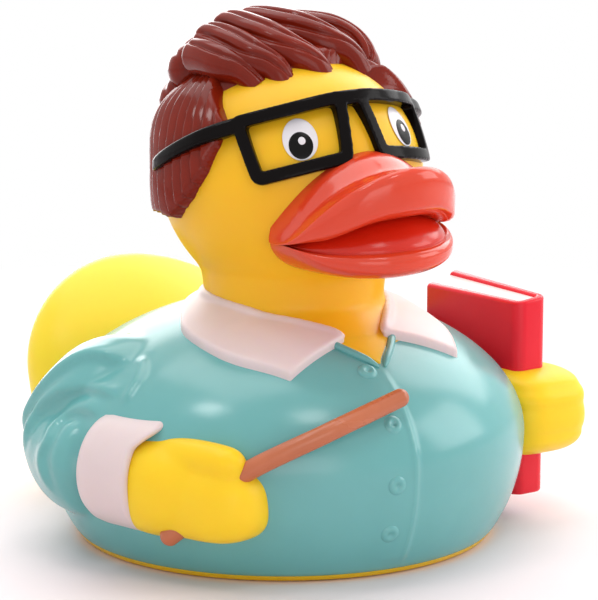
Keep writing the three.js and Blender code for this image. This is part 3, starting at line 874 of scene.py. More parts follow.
@dataclass
class Throat:
    """Bare skin in the open neck of the shirt, narrowing to a point."""

    foot: float = 34.2
    head: float = 40.9
    right: float = 34.0
    left: float = 40.0
    turn: float = -2.0
    edge: float = 0.7
    flare: float = 1.35
    proud: float = 0.22
    sunk: float = 1.5

    def skin(self) -> Mesh:
        """Thin wedge of vinyl let into the shirt.

        Returns:
            The closed wedge.
        """
        bm = bmesh.new()
        bmesh.ops.create_cube(bm, size=2)
        bmesh.ops.subdivide_edges(bm, edges=bm.edges, cuts=14, use_grid_fill=True)

        def move(point: Vector) -> Vector:
            """Bend the cube into the wedge.

            Args:
                point: Vertex of the cube.

            Returns:
                Its place on the body.
            """
            rise = (point.z + 1) / 2
            spread = self.right if point.x < 0 else self.left
            turn = self.turn + point.x * (0.3 + spread * rise**self.flare)
            lift = self.proud if point.y < 0 else -self.sunk
            return BODY.point(turn, mix(self.foot, self.head, rise), lift)

        return reshape(bm, move)

    def edges(self) -> list[Mesh]:
        """Rolled edges of the shirt on either side of the wedge.

        Returns:
            One mesh for each edge.
        """
        made = []
        for way, spread in ((-1, self.right), (1, self.left)):
            line = []
            for share in (0, 0.15, 0.3, 0.45, 0.6):
                turn = self.turn + way * (1.0 + spread * share**self.flare)
                line.append(BODY.point(turn, mix(self.foot - 0.5, self.head, share), 0.1))
            made.append(sweep(Path(line), round_bar(self.edge, reach=0.3), sides=20, steps=30))
        return made

    def build(self) -> None:
        """Make the skin and the edges round it."""
        piece(self.skin(), "throat", SHADED_HEAD_VINYL)
        piece(joined(self.edges()), "throat_edges", SHIRT_PAINT)


@dataclass
class Tail:
    """Broad upright fan, leaning back."""

    width: float = 54.4
    height: float = 44.0
    thickness: float = 26.0
    back: float = 44.0
    level: float = 22.0
    lean: float = 27.0
    lowest: float = 1.4

    def build(self) -> None:
        """Make the fan."""
        turn = Matrix.Rotation(-radians(self.lean), 3, "X")

        def move(point: Vector) -> Vector:
            """Shape the ball into the fan.

            Args:
                point: Vertex of the unit ball.

            Returns:
                Its place on the fan.
            """
            x = point.x * self.width / 2 * (1 - 0.1 * point.z) - 2.4 * max(point.z, 0)
            y = point.y * self.thickness / 2 * (1 - 0.4 * point.z)
            leant = turn @ Vector((x, y, point.z * self.height / 2))
            return Vector((leant.x, leant.y + self.back, max(leant.z + self.level, self.lowest)))

        piece(reshape(ball(segments=160, rings=96), move), "tail", LIT_TAIL_VINYL)


# Head


@dataclass
class HeadForm:
    """Egg-shaped skull, made level about its own middle and tipped back."""

    width: float = 44.8
    depth: float = 46.0
    height: float = 44.0
    forward: float = 3.0
    level: float = 61.0
    tip: float = 17.0
    roll: float = 3.0
    jaw: float = 0.12

    def jaw_share(self, level: float) -> float:
        """Share of the width left at a level from -1 at the chin to 1 at the crown."""
        return 1 - self.jaw * max(0.0, -level)

    def matrix(self) -> Matrix:
        """Place of the head on the body.

        Returns:
            The matrix from the level skull to the duck.
        """
        place = Matrix.Translation((0, -self.forward, self.level))
        tipped = Matrix.Rotation(-radians(self.tip), 4, "X")
        return place @ tipped @ Matrix.Rotation(-radians(self.roll), 4, "Y")

    def on_ball(self, point: Vector, lift: float = 0.0) -> Vector:
        """Point of the skull for a point of the unit ball.

        Args:
            point: Point of the unit ball.
            lift: Distance off the skull.

        Returns:
            The point on the level skull.
        """
        jaw = self.jaw_share(point.z)
        return Vector(
            (
                point.x * (self.width / 2 + lift) * jaw,
                point.y * (self.depth / 2 + lift) * jaw,
                point.z * (self.height / 2 + lift),
            )
        )

    def point(self, turn: float, level: float, lift: float = 0.0) -> Vector:
        """Point of the skull at a turn and a level.

        Args:
            turn: Degrees from the front towards the left.
            level: Height above the skull's middle.
            lift: Distance off the skull.

        Returns:
            The point on the level skull.
        """
        share = sqrt(1 - clamp(2 * level / self.height, -0.99, 0.99) ** 2)
        jaw = self.jaw_share(2 * level / self.height)
        return Vector(
            (
                sin(radians(turn)) * (self.width / 2 * share * jaw + lift),
                -cos(radians(turn)) * (self.depth / 2 * share * jaw + lift),
                level,
            )
        )


HEAD = HeadForm()


@dataclass
class Head:
    """Bare skull and neck."""

    neck: float = 15.5
    flare: Sequence[tuple[float, float]] = (
        (0, 35), (26, 35), (24.2, 36), (22.3, 37), (20.3, 38), (18.5, 39), (16.9, 40), (15.95, 41), (0, 43),
    )

    def build(self) -> None:
        """Melt the neck into the jaw, and spread its foot into the open neck of the shirt."""
        skull = placed(reshape(ball(segments=96, rings=64), HEAD.on_ball), HEAD.matrix())
        widths = ((1, 34), (1, 42), (1.03, 46), (1.12, 52), (1.15, 58))
        profile = [(0, 34), *((self.neck * share, height) for share, height in widths), (0, 58)]
        set_forward = Matrix.Translation((0, -HEAD.forward, 0))
        parts = [skull, *(placed(turned(rows, segments=96), set_forward) for rows in (profile, self.flare))]
        piece(fused(parts, grain=0.6, passes=9), "head", SHADED_HEAD_VINYL)


@dataclass
class Eyes:
    """Printed eyes: a white oval with a black pupil and one light spot."""

    turn: float = 27.5
    level: float = 4.7
    white: tuple[float, float] = (3.0, 3.6)
    pupil: tuple[float, float] = (2.05, 2.3)
    spot: float = 0.62

    def decal(
        self, side: Side, x: float, z: float, size: tuple[float, float], lift: float
    ) -> Mesh:
        """Thin oval wrapped on the face.

        Args:
            side: Side of the face.
            x: Place along the face from the eye's middle, outwards.
            z: Place above the eye's middle.
            size: Half width and half height.
            lift: Height of its crown over the face.

        Returns:
            The closed thin oval.
        """
        around = HEAD.depth / 2

        def move(point: Vector) -> Vector:
            """Wrap a point of the flat oval on the face.

            Args:
                point: Vertex of the unit ball.

            Returns:
                Its place on the face.
            """
            along = self.turn + degrees((x + point.x * size[0]) / around)
            level = self.level + z + point.y * size[1]
            return HEAD.matrix() @ HEAD.point(side.value * along, level, lift + point.z * 0.1)

        made = reshape(ball(segments=48, rings=24), move)
        bmesh.ops.recalc_face_normals(made, faces=made.faces)
        return made

    def build(self) -> None:
        """Make both eyes."""
        whites, blacks, spots = [], [], []
        for side in Side:
            whites.append(self.decal(side, 0.0, 0.0, self.white, 0.1))
            blacks.append(self.decal(side, 0.1, -1.05, self.pupil, 0.18))
            spots.append(self.decal(side, 0.2 * side.value, -0.35, (self.spot, self.spot * 1.1), 0.26))
        piece(joined(whites), "eye_whites", EYE_WHITE)
        piece(joined(blacks), "eye_pupils", EYE_BLACK)
        piece(joined(spots), "eye_spots", EYE_WHITE)


# Hair


@dataclass
class Lock:
    """One combed lock: its middle line on the head, its half width and the turns of its grooves."""

    line: Line
    radius: float
    grooves: Sequence[float] = (38.0, 84.0, 126.0)

    def size(self, share: float, angle: float) -> tuple[float, float]:
        """Size of the grooved lock at a place on it.

        Args:
            share: Share of the length.
            angle: Angle round the lock in radians.

        Returns:
            Half width and half height.
        """
        full = self.radius * rounded(min(share, 0.5), 0.12) * mix(1.0, 0.6, smooth(share, 0.45, 1.0))
        turn = degrees(angle) + 14 * sin(3 * share)
        cut = max(bump(turn, groove, 7.5) for groove in self.grooves)
        depth = 0.17 * smooth(share, 0.02, 0.2) * (1 - 0.5 * smooth(share, 0.8, 1.0))
        return full * (1 - depth * cut), full * (1 - depth * cut)


@dataclass
class Hair:
    """Combed cap and the swept locks of the crown."""

    thickness: float = 2.3
    groove: float = 0.85
    strands: int = 56
    strand_faces: int = 12
    crown: float = 23.5
    mound: tuple[float, float, float] = (16.4, 15.4, 14.2)
    mound_place: tuple[float, float, float] = (0, 1.4, 12.6)
    hairline: Sequence[tuple[float, float]] = (
        (-30, 17.6), (-5.0, 17.6), (-11.0, 9.9), (-10.0, 6.5), (-7.6, 2.6), (-3.4, -0.6), (2.8, -2.9),
        (8.0, -1.0), (13.8, 0), (34, 0), (34, 40), (-30, 40),
    )
    locks: Sequence[Lock] = (
        Lock(
            (
                (-12.6, 3.6, 24.6), (-12.5, -0.9, 23.2), (-12, -5.1, 20.9),
                (-10.8, -8.4, 18.6), (-9.6, -10.4, 15.4),
            ),
            3.2, (60, 110),
        ),
        Lock(
            (
                (-9.6, 4.6, 26.9), (-9, 0, 25.6), (-8.5, -5.3, 22.9),
                (-8.1, -9.4, 20.3), (-6.8, -12, 17.9), (-5.9, -12.8, 14.6),
            ),
            3.6,
        ),
        Lock(
            (
                (-5.6, 4.8, 28.4), (-4.9, 0, 27.1), (-4.4, -6.2, 24.1),
                (-2.9, -11, 20.8), (-0.4, -13.4, 18), (1.2, -13.6, 14.8),
            ),
            3.9,
        ),
        Lock(
            (
                (-1.5, 5.2, 28.9), (0.9, 0, 27.4), (2.9, -5.8, 24.8),
                (6, -9.8, 21.6), (9.2, -10.7, 19), (10.8, -10.6, 15.6),
            ),
            3.9,
        ),
        Lock(
            (
                (2.9, 6.4, 28.3), (8.2, 2.8, 27), (12.9, -0.9, 24.9),
                (15.8, -3, 22.2), (16.8, -4.4, 18.9), (16.4, -5.2, 15),
            ),
            3.8,
        ),
        Lock(
            (
                (-12.3, 4.6, 21.4), (-10, 8.2, 23.4), (-4, 9.6, 25.6),
                (4.9, 8.2, 25.3), (12.2, 4.6, 21.8), (16, 2, 16.7),
            ),
            4.4,
        ),
        Lock(
            (
                (-13.2, 9.4, 15.8), (-9.2, 12.4, 19.6), (0, 13.2, 21.8), (9, 10.6, 19), (15, 8, 13.8),
            ),
            4.7,
        ),
        Lock(
            (
                (-12.8, 14.8, 10.4), (-7, 17, 14.4), (0, 17.6, 15.8), (7.5, 16.2, 13.8), (13, 14, 9),
            ),
            4.2,
        ),
    )

    def inside(self, y: float, z: float) -> float:
        """Distance inside the hairline seen from the side, negative outside it.

        Args:
            y: Place back from the head's middle.
            z: Place above it.

        Returns:
            The signed distance in millimetres.
        """
        best, within = 1e9, False
        corners = list(self.hairline)
        for (ay, az), (by, bz) in zip(corners, corners[1:] + corners[:1]):
            span = (by - ay) ** 2 + (bz - az) ** 2
            share = clamp(((y - ay) * (by - ay) + (z - az) * (bz - az)) / span)
            best = min(best, hypot(y - mix(ay, by, share), z - mix(az, bz, share)))
            if (az > z) != (bz > z) and y < (by - ay) * (z - az) / (bz - az) + ay:
                within = not within
        return best if within else -best

    def cap(self) -> Mesh:
        """Shell of lapping strands over the skull, sinking under the face at the hairline.

        Returns:
            The shell, without what the head and the locks hide.
        """

        def move(point: Vector) -> Vector:
            """Lift the ball off the skull where hair grows.

            Args:
                point: Vertex of the unit ball.

            Returns:
                Its place on the level skull.
            """
            flat = HEAD.on_ball(point)
            turn = atan2(point.x, -point.y)
            wave = abs(turn) / (2 * pi) * self.strands + 0.35 * sin(2.2 * point.z) + 0.2 * sin(7 * turn)
            share = wave % 1.0
            strand = share**0.7 * (1 - smooth(share, 0.86, 1.0))
            far = smooth(flat.x, 4, 12) * bump(flat.z, 14, 6)
            grown = smooth(self.inside(flat.y + 2.2 * far, flat.z), -0.35, 0.75)
            full = 2.3 * bump(degrees(turn), -122, 36) * bump(flat.z, 14.5, 5) + 1.3 * far
            lift = mix(-1.2, self.thickness + full - self.groove * (1 - strand), grown)
            return HEAD.on_ball(point, lift)

        cap = reshape(ball(segments=self.strand_faces * self.strands, rings=110), move)
        buried = [v for v in cap.verts if self.inside(v.co.y, v.co.z) < -6 or v.co.z > self.crown]
        bmesh.ops.delete(cap, geom=buried, context="VERTS")
        return cap

    def build(self) -> None:
        """Make the cap and the locks."""
        mound = ball(segments=96, rings=64)
        bmesh.ops.scale(mound, vec=self.mound, verts=mound.verts)
        bmesh.ops.translate(mound, vec=self.mound_place, verts=mound.verts)
        piece(placed(self.cap(), HEAD.matrix()), "hair_cap", HAIR_PAINT)
        locks = [sweep(Path(lock.line), lock.size, sides=120, steps=80) for lock in self.locks]
        piece(placed(joined([mound, *locks]), HEAD.matrix()), "hair_locks", HAIR_PAINT)


# Glasses


@dataclass
class Glasses:
    """Moulded spectacle frame, wrapped round the face and lying on the hair."""

    lens_width: float = 17.0
    lens_height: float = 7.9
    bridge: float = 3.4
    rim: float = 2.2
    depth: float = 1.4
    level: float = 4.6
    turn: float = -1.2
    temple_length: float = 24.0
    temple_drop: float = 2.4
    temple_depth: float = 3.1
    under: float = 1.6
    arch: float = 0.8

    def wrap(self, point: Vector) -> Vector:
        """Bend flat work (x along the face, y up, z off it) round the head.

        Args:
            point: Point of the flat work.

        Returns:
            Its place on the duck.
        """
        turn = self.turn + degrees(point.x / (HEAD.depth / 2 + self.depth))
        height = self.level + point.y + self.arch * bump(point.x, 0, 11)
        brow = HEAD.point(turn, mix(self.level, height, 0.55), point.z - self.under)
        return HEAD.matrix() @ Vector((brow.x, brow.y, height))

    def rim_ring(self, side: Side) -> Mesh:
        """Flat rim of one lens, with rounded corners and eased edges.

        Args:
            side: Side of the face.

        Returns:
            The closed wrapped rim.
        """
        inner = self.bridge / 2
        outer = inner + self.lens_width + 2 * self.rim
        top = self.lens_height / 2 + self.rim
        corners = ((inner + 1.1, -top), (outer - self.lens_width / 7, -top), (outer, top), (inner - 0.8, top))
        bm = bmesh.new()
        verts = [bm.verts.new((side.value * x, y, 0)) for x, y in corners]
        bm.faces.new(verts)
        bmesh.ops.bevel(
            bm, geom=bm.verts[:], offset=1.7, segments=6, profile=0.5, affect="VERTICES", material=-1
        )
        long = [edge for edge in bm.edges if edge.calc_length() > 2]
        bmesh.ops.subdivide_edges(bm, edges=long, cuts=20)
        rim = bmesh.ops.inset_individual(bm, faces=bm.faces[:], thickness=self.rim, use_even_offset=True)
        middle = [face for face in bm.faces if face not in rim["faces"]]
        bmesh.ops.delete(bm, geom=middle, context="FACES")
        bmesh.ops.solidify(bm, geom=bm.faces[:], thickness=-(self.depth + self.under))
        bmesh.ops.recalc_face_normals(bm, faces=bm.faces)
        low = min(vertex.co.z for vertex in bm.verts)
        bmesh.ops.translate(bm, vec=(0, 0, -low), verts=bm.verts)
        return reshape(bm, self.wrap)

    def bar(
        self, start: Vector, end: Vector, high: tuple[float, float], deep: tuple[float, float]
    ) -> Mesh:
        """Rounded flat bar between two places of the flat work.

        Args:
            start: First end.
            end: Second end.
            high: Height at either end.
            deep: How far it stands off the skull at either end.

        Returns:
            The closed wrapped bar.
        """
        bm = bmesh.new()
        bmesh.ops.create_cube(bm, size=2)
        bmesh.ops.bevel(
            bm, geom=bm.edges[:], offset=0.4, segments=4, profile=0.5, affect="EDGES", material=-1
        )
        along = [edge for edge in bm.edges if abs(edge.verts[0].co.x - edge.verts[1].co.x) > 0.6]
        bmesh.ops.subdivide_edges(bm, edges=along, cuts=24, use_grid_fill=True)

        def move(point: Vector) -> Vector:
            """Stretch the block along the bar and wrap it.

            Args:
                point: Vertex of the block.

            Returns:
                Its place on the duck.
            """
            share = (point.x + 1) / 2
            place = start.lerp(end, share)
            drop = (end.y - start.y) * (share**1.4 - share)
            height = place.y + drop + point.y * mix(high[0], high[1], share) / 2
            off = mix(deep[0], deep[1], smooth(share, 0.05, 0.4)) + self.under
            return self.wrap(Vector((place.x, height, (point.z + 1) / 2 * off)))

        reshape(bm, move)
        bmesh.ops.recalc_face_normals(bm, faces=bm.faces)
        return bm

    def build(self) -> None:
        """Melt the rims, the bridge and the temples together."""
        top = self.lens_height / 2
        reach = self.bridge / 2 + 2 * self.rim + self.lens_width - 3.0
        parts = [self.rim_ring(side) for side in Side]
        half = self.bridge / 2 + 2.4
        over = Vector((half, top + self.rim - 1.3, 0))
        parts.append(self.bar(Vector((-half, over.y, 0)), over, (2.6, 2.6), (self.depth, self.depth)))
        for side in Side:
            start = Vector((side.value * reach, top + self.rim - 1.45, 0))
            end = start + Vector((side.value * self.temple_length, -self.temple_drop, 0))
            parts.append(self.bar(start, end, (2.9, 2.3), (self.depth, self.temple_depth)))
        piece(fused(parts, grain=0.22, passes=5), "glasses", FRAME_PAINT)


# Beak


@dataclass
class Beak:
    """Two full lips round a deep red mouth."""

    width: float = 32.0
    length: float = 18.6
    corner: Vector = field(default_factory=lambda: Vector((0, -21, 55)))
    rise: float = 13.6
    upper: float = 10.3
    lower: float = 5.2
    corner_power: int = 6

    def lip(
        self,
        inset: float,
        top: Callable[[float, float], float],
        bottom: Callable[[float, float], float],
        dish: float = 0.0,
        edge: float = 0.42,
    ) -> Mesh:
        """Ball whose rim follows the mouth.

        Args:
            inset: How much smaller than the whole beak its outline is.
            top: Level of its upper side, from how near it is to the middle and to the rim.
            bottom: Level of its lower side, likewise.
            dish: Depth of the hollow in its upper side.
            edge: Power that squares its edge.

        Returns:
            The lip.
        """
        tilt = tan(radians(HEAD.roll)) * self.width / 2

        def move(point: Vector) -> Vector:
            """Shape a point of the ball.

            Args:
                point: Vertex of the unit ball.

            Returns:
                Its place on the beak.
            """
            keep = clamp(1 - point.x**2, 1e-6, 1.0)
            ahead = clamp(-point.y / sqrt(keep))
            high, low = top(keep, ahead), bottom(keep, ahead)
            bulge = squared(point.z, edge)
            hollow = dish * keep * bump(ahead, 0.6, 0.22) if point.z > 0 else 0.0
            reach = self.length - inset if point.y < 0 else self.length * 0.35
            level = (high + low) / 2 + (high - low) / 2 * bulge - hollow
            return self.corner + Vector(
                (point.x * (self.width / 2 - inset), point.y * reach, level + point.x * tilt)
            )

        return reshape(ball(segments=160, rings=120), move)

    def build(self) -> None:
        """Make both lips and the mouth between them."""
        gap = self.rise - self.upper

        def sharp(keep: float) -> float:
            """Share that drops to nothing only close to the corners of the mouth."""
            return 1 - (1 - keep) ** self.corner_power

        def crest(keep: float, ahead: float) -> float:
            """Level of the upper lip's back, which curls up at its rim."""
            arched = self.rise * keep ** mix(0.7, 0.62, smooth(ahead, 0.15, 0.9))
            return 0.1 + sharp(keep) * (arched + 0.8 * bump(ahead, 0.95, 0.08))

        upper = self.lip(
            0,
            crest,
            lambda keep, ahead: gap * smooth(keep, 0.35, 1.05) - 0.1 - 0.2 * sharp(keep),
            dish=2.3,
            edge=0.42,
        )
        mouth = self.lip(
            1.7,
            lambda keep, ahead: ((gap + 1.6) * keep**0.8 * (1 - 0.9 * ahead**5) - 0.2) * sharp(keep),
            lambda keep, _: -3.0 * sqrt(keep),
            edge=0.35,
        )
        lower = self.lip(
            0.3,
            lambda keep, ahead: 0.1 - 1.2 * keep * (1 - smooth(ahead, 0.7, 0.98)) + 0.4 * keep,
            lambda keep, _: -0.1 - sharp(keep) * (self.lower + 1.7) * keep**0.4 + 0.5 * keep**3,
            edge=0.6,
        )
        piece(upper, "upper_lip", BEAK_PAINT)
        piece(lower, "lower_lip", BEAK_PAINT)
        piece(mouth, "mouth", MOUTH_PAINT)


# Collar and cuffs


@dataclass
class Collar:
    """Folded-down leaf round the neck with two points."""

    thickness: float = 1.5
    rise: float = 43.0
    neck: float = 15.5
    edge: float = 0.95
    narrow: float = 0.36
    fold: Line = (
        (180, 1.0, 0), (125, 1.0, 0), (94, 1.0, 0.4), (58, 1.03, 1.6), (30, 1.15, 3.6), (10, 1.42, 5.4),
    )
    hem: Line = (
        (180, 1.2, 0), (125, 1.2, 0), (100, 1.34, 0), (85, 1.52, 0), (68, 1.67, 0), (54, 1.8, 0),
        (34, 1.96, 0),
    )

    def line(self, rows: Line) -> Path:
        """Smooth line round the neck through rows of turn, reach and drop.

        Args:
            rows: Degrees from the front, share of the neck and drop below the fold.

        Returns:
            The line, from the back to the front.
        """
        points = []
        for turn, share, drop in rows:
            x, ahead = sin(radians(turn)) * share * self.neck, cos(radians(turn)) * share * self.neck
            points.append((x, -HEAD.forward - ahead, self.rise - drop))
        return Path(points)

    def roll(self, fold: Path) -> Mesh:
        """Round upper edge that the leaf turns over at, against the neck.

        Args:
            fold: Line of the fold on one side.

        Returns:
            The closed roll round both sides.
        """
        line = []
        for i in range(41):
            place = fold.at(abs(i / 20 - 1))
            level = max(place.z, BODY.shoulder(place.x, place.y) + self.thickness) - 0.45
            line.append((place.x * (1 if i > 20 else -1), place.y, level))
        both_ways = Path(line[:20] + line[21:], steps=8)
        return sweep(both_ways, round_bar(self.edge, reach=0.03), sides=20, steps=240)

    def build(self) -> None:
        """Lay the leaf over the shoulders."""
        fold, hem = self.line(self.fold), self.line(self.hem)
        bm = bmesh.new()
        bmesh.ops.create_grid(bm, x_segments=160, y_segments=14, size=1)

        def move(point: Vector) -> Vector:
            """Place a point of the flat leaf.

            Args:
                point: Vertex of the grid.

            Returns:
                Its place on the shoulders.
            """
            along, down = abs(point.x), (1 - point.y) / 2
            inner, outer = fold.at(along), hem.at(along)
            outer.z = BODY.shoulder(outer.x, outer.y) + self.thickness
            place = inner.lerp(outer, down * (1 - self.narrow * bump(along, 0.66, 0.2) * (point.x > 0)))
            level = max(place.z, BODY.shoulder(place.x, place.y) + self.thickness)
            return Vector((place.x if point.x > 0 else -place.x, place.y, level))

        reshape(bm, move)
        bmesh.ops.solidify(bm, geom=bm.faces[:], thickness=self.thickness * 1.8)
        bmesh.ops.recalc_face_normals(bm, faces=bm.faces)
        piece(fused([bm, self.roll(fold)], grain=0.32, passes=6), "collar", LINEN_PAINT)


@dataclass
class Arm:
    """Cuff and wrist of one arm."""

    wrist: Vector
    heading: Vector
    cuff: float = 9.8
    cuff_length: float = 10.0
    cuff_wall: float = 1.9
    cuff_point: float = 3.0

    def frame(self) -> Matrix:
        """Wrist's frame: x to the duck's right, y ahead along the hand, z up.

        Returns:
            The matrix from the hand to the duck.
        """
        ahead = self.heading.normalized()
        up = Vector((0, 0, 1))
        axes = Matrix((ahead.cross(up), ahead, up)).transposed().to_4x4()
        return Matrix.Translation(self.wrist) @ axes

    def band(self) -> Mesh:
        """Turned-back cuff with one soft corner on top.

        Returns:
            The closed cuff in the wrist's frame.
        """
        r, wall, far = self.cuff, self.cuff_wall, self.cuff_length
        profile = [(0, -1), (r - 2.0, -1), (r - 1.1, -0.7), (r - 0.6, 0.2), (r - 0.3, 2), (r, far - 1.3)]
        arc = [i * pi / 8 for i in range(9)]
        profile += [(r - wall * (1 - cos(a)) / 2, far - 1.0 + sin(a)) for a in arc]
        profile += [(r - wall - 0.3, far - 2.2), (0, far - 2.2)]
        bm = turned(profile, segments=120)
        placed(bm, Matrix.Rotation(-pi / 2, 4, "X"))

        def move(point: Vector) -> Vector:
            """Draw the rim out to a soft corner on top.

            Args:
                point: Vertex of the turned cuff.

            Returns:
                Its new place.
            """
            open_end = smooth(point.y, 1.0, far)
            peak = smooth(point.z / r, 0.5, 0.92)
            return Vector((point.x, point.y + open_end * self.cuff_point * peak, point.z))

        return reshape(bm, move)


@dataclass
class RightHand(Arm):
    """Fist round the pointer, its thumb on top."""

    palm: tuple[Vector, Vector] = (Vector((0, 12, -1.3)), Vector((8.7, 12.2, 8.6)))
    fingers: tuple[Vector, Vector] = (Vector((-0.9, 19.9, -2.6)), Vector((8.1, 10.9, 6.8)))
    thumb: float = 3.0
    thumb_line: Line = ((1.2, 9, 3.8), (2.6, 17.5, 4.6), (2.4, 29, 3.9))

    def block(self, middle: Vector, half: Vector, power: float) -> Mesh:
        """Soft-cornered ball of the given half sizes.

        Args:
            middle: Place of its middle.
            half: Its half sizes.
            power: Under 1 squares it.

        Returns:
            The closed block.
        """

        def move(point: Vector) -> Vector:
            """Square a point of the ball and stretch it."""
            return Vector([squared(value, power) * reach for value, reach in zip(point, half)])

        bm = reshape(ball(segments=72, rings=48), move)
        bmesh.ops.translate(bm, vec=middle, verts=bm.verts)
        return bm

    def fist(self) -> Mesh:
        """Melt the palm, the thumb and the closed fingers together.

        Returns:
            The fist in the wrist's frame.
        """
        thumb = sweep(Path(self.thumb_line), round_bar(self.thumb, reach=0.2), sides=32, steps=40)
        blocks = [self.block(*self.palm, power=0.9), self.block(*self.fingers, power=0.7)]
        return fused([*blocks, thumb], grain=0.4, passes=14)

    def build(self) -> None:
        """Make the cuff and the fist."""
        piece(placed(self.band(), self.frame()), "right_cuff", LINEN_PAINT)
        piece(placed(self.fist(), self.frame()), "right_hand", LIT_HAND_VINYL)


@dataclass
class LeftHand(Arm):
    """Hand closed round the spine of the book."""

    width: float = 18.6
    length: float = 23.0
    height: float = 15.8
    groove: float = 0.3

    def grip(self) -> Mesh:
        """Soft-cornered block with shallow lines between the fingers.

        Returns:
            The closed hand in the wrist's frame.
        """

        def move(point: Vector) -> Vector:
            """Square the ball and press the lines in.

            Args:
                point: Vertex of the unit ball.

            Returns:
                Its place in the wrist's frame.
            """
            wrist = mix(0.76, 1.0, smooth(point.y, -0.8, 0.1))
            z = squared(point.z, 0.6) * wrist * self.height / 2
            line = sum(bump(z, middle, 0.6) for middle in (-3.1, 1.6, 4.9)) * smooth(point.y, -0.2, 0.3)
            shrink = 1 - self.groove * line / (self.width / 2)
            x = squared(point.x, 0.6) * wrist * self.width / 2 * shrink
            y = squared(point.y, 0.7) * self.length / 2 * shrink
            return Vector((x + self.width / 8, y + self.cuff_length + 0.28 * self.length, z + 0.2))

        return reshape(ball(segments=160, rings=120), move)

    def build(self) -> None:
        """Make the cuff and the hand."""
        piece(placed(self.band(), self.frame()), "left_cuff", LINEN_PAINT)
        piece(placed(fused([self.grip()], grain=0.4, passes=5), self.frame()), "left_hand", LIT_HAND_VINYL)


# Pointer and book


@dataclass
class Pointer:
    """Thin round stick held in the right fist."""

    radius: float = 1.65
    tip: float = 0.92
    line: Line = (
        (-36.6, -20.8, 7.3), (-33.2, -26, 12.4), (-30.2, -29.4, 16.8), (-28, -32.6, 20), (-17.2, -39.6, 26.4),
        (-2.3, -40.1, 30.9),
    )

    def build(self) -> None:
        """Sweep the stick."""
        size = round_bar(self.radius, reach=0.03, taper=(1.0, self.tip))
        piece(sweep(Path(self.line), size, sides=40, steps=140), "pointer", POINTER_PAINT)


@dataclass
class Book:
    """Closed book with a rounded spine, held upright against the body."""

    width: float = 26.0
    height: float = 35.0
    thickness: float = 7.0
    board: float = 1.55
    recess: float = 0.45
    splay: float = 2.2
    spine: float = 2.1
    place: Vector = field(default_factory=lambda: Vector((39.5, -6, 4)))
    turn: float = -87.0

    def splayed(self, bm: Mesh) -> Mesh:
        """Let the outer board stand up at the fore edge, and put the book in its place.

        Args:
            bm: Part of the book.

        Returns:
            The same mesh, in its place.
        """

        def move(point: Vector) -> Vector:
            """Raise a point by how far out, back and up it is.

            Args:
                point: Vertex of the square book.

            Returns:
                Its new place.
            """
            across = 0.5 + point.y / self.thickness
            along = 0.5 + point.x / self.width
            lift = self.splay * point.z / self.height * across * mix(1, 0.35, along)
            return Vector((point.x, point.y, point.z + lift))

        reshape(bm, move)
        return placed(bm, Matrix.Translation(self.place) @ Matrix.Rotation(radians(self.turn), 4, "Z"))

    def cover(self) -> Mesh:
        """Board folded round the spine, with soft edges.

        Returns:
            The closed cover.
        """
        w, h, r = self.width / 2, self.thickness / 2, self.spine
        arc = [(w - r + r * sin(a), -h + r - r * cos(a)) for a in (i * pi / 16 for i in range(9))]
        fold = [(-w, -h), *arc, *((x, -y) for x, y in reversed(arc)), (-w, h)]
        bm = bmesh.new()
        verts = [bm.verts.new((x, y, 0)) for x, y in fold]
        edges = [bm.edges.new(pair) for pair in zip(verts, verts[1:])]
        grown = bmesh.ops.extrude_edge_only(bm, edges=edges)
        lifted = [item for item in grown["geom"] if isinstance(item, bmesh.types.BMVert)]
        bmesh.ops.translate(bm, vec=(0, 0, self.height), verts=lifted)
        bmesh.ops.recalc_face_normals(bm, faces=bm.faces)
        bmesh.ops.solidify(bm, geom=bm.faces[:], thickness=self.board)
        bmesh.ops.recalc_face_normals(bm, faces=bm.faces)
        bmesh.ops.bevel(
            bm,
            geom=[e for e in bm.edges if len(e.link_faces) == 2 and e.calc_face_angle() > 1.0],
            offset=0.6,
            segments=6,
            profile=0.5,
            affect="EDGES",
            material=-1,
        )
        return bm

    def pages(self) -> Mesh:
        """Block of pages between the boards.

        Returns:
            The closed block.
        """
        bm = bmesh.new()
        bmesh.ops.create_cube(bm, size=1)
        inside = self.thickness - 2 * self.board + 0.5
        wide = self.width - self.recess - self.board
        bmesh.ops.scale(bm, vec=(wide, inside, self.height - 2 * self.recess), verts=bm.verts)
        bmesh.ops.translate(bm, vec=((self.recess - self.board) / 2, 0, self.height / 2), verts=bm.verts)
        bmesh.ops.bevel(
            bm, geom=bm.edges[:], offset=0.25, segments=3, profile=0.5, affect="EDGES", material=-1
        )
        return bm

    def build(self) -> None:
        """Make the cover and the pages."""
        piece(self.splayed(self.cover()), "book_cover", BOOK_PAINT)
        piece(self.splayed(self.pages()), "book_pages", PAGE_PAINT)


# Studio


@dataclass(frozen=True)
class Lamp:
    """Soft square lamp aimed at the duck.

    The azimuth is in degrees round from the duck's front and the elevation in degrees above the floor.
    Its distance and width are in metres, and its power in watts.
    """

    name: str
    azimuth: float
    elevation: float
    distance: float
    width: float
    power: float


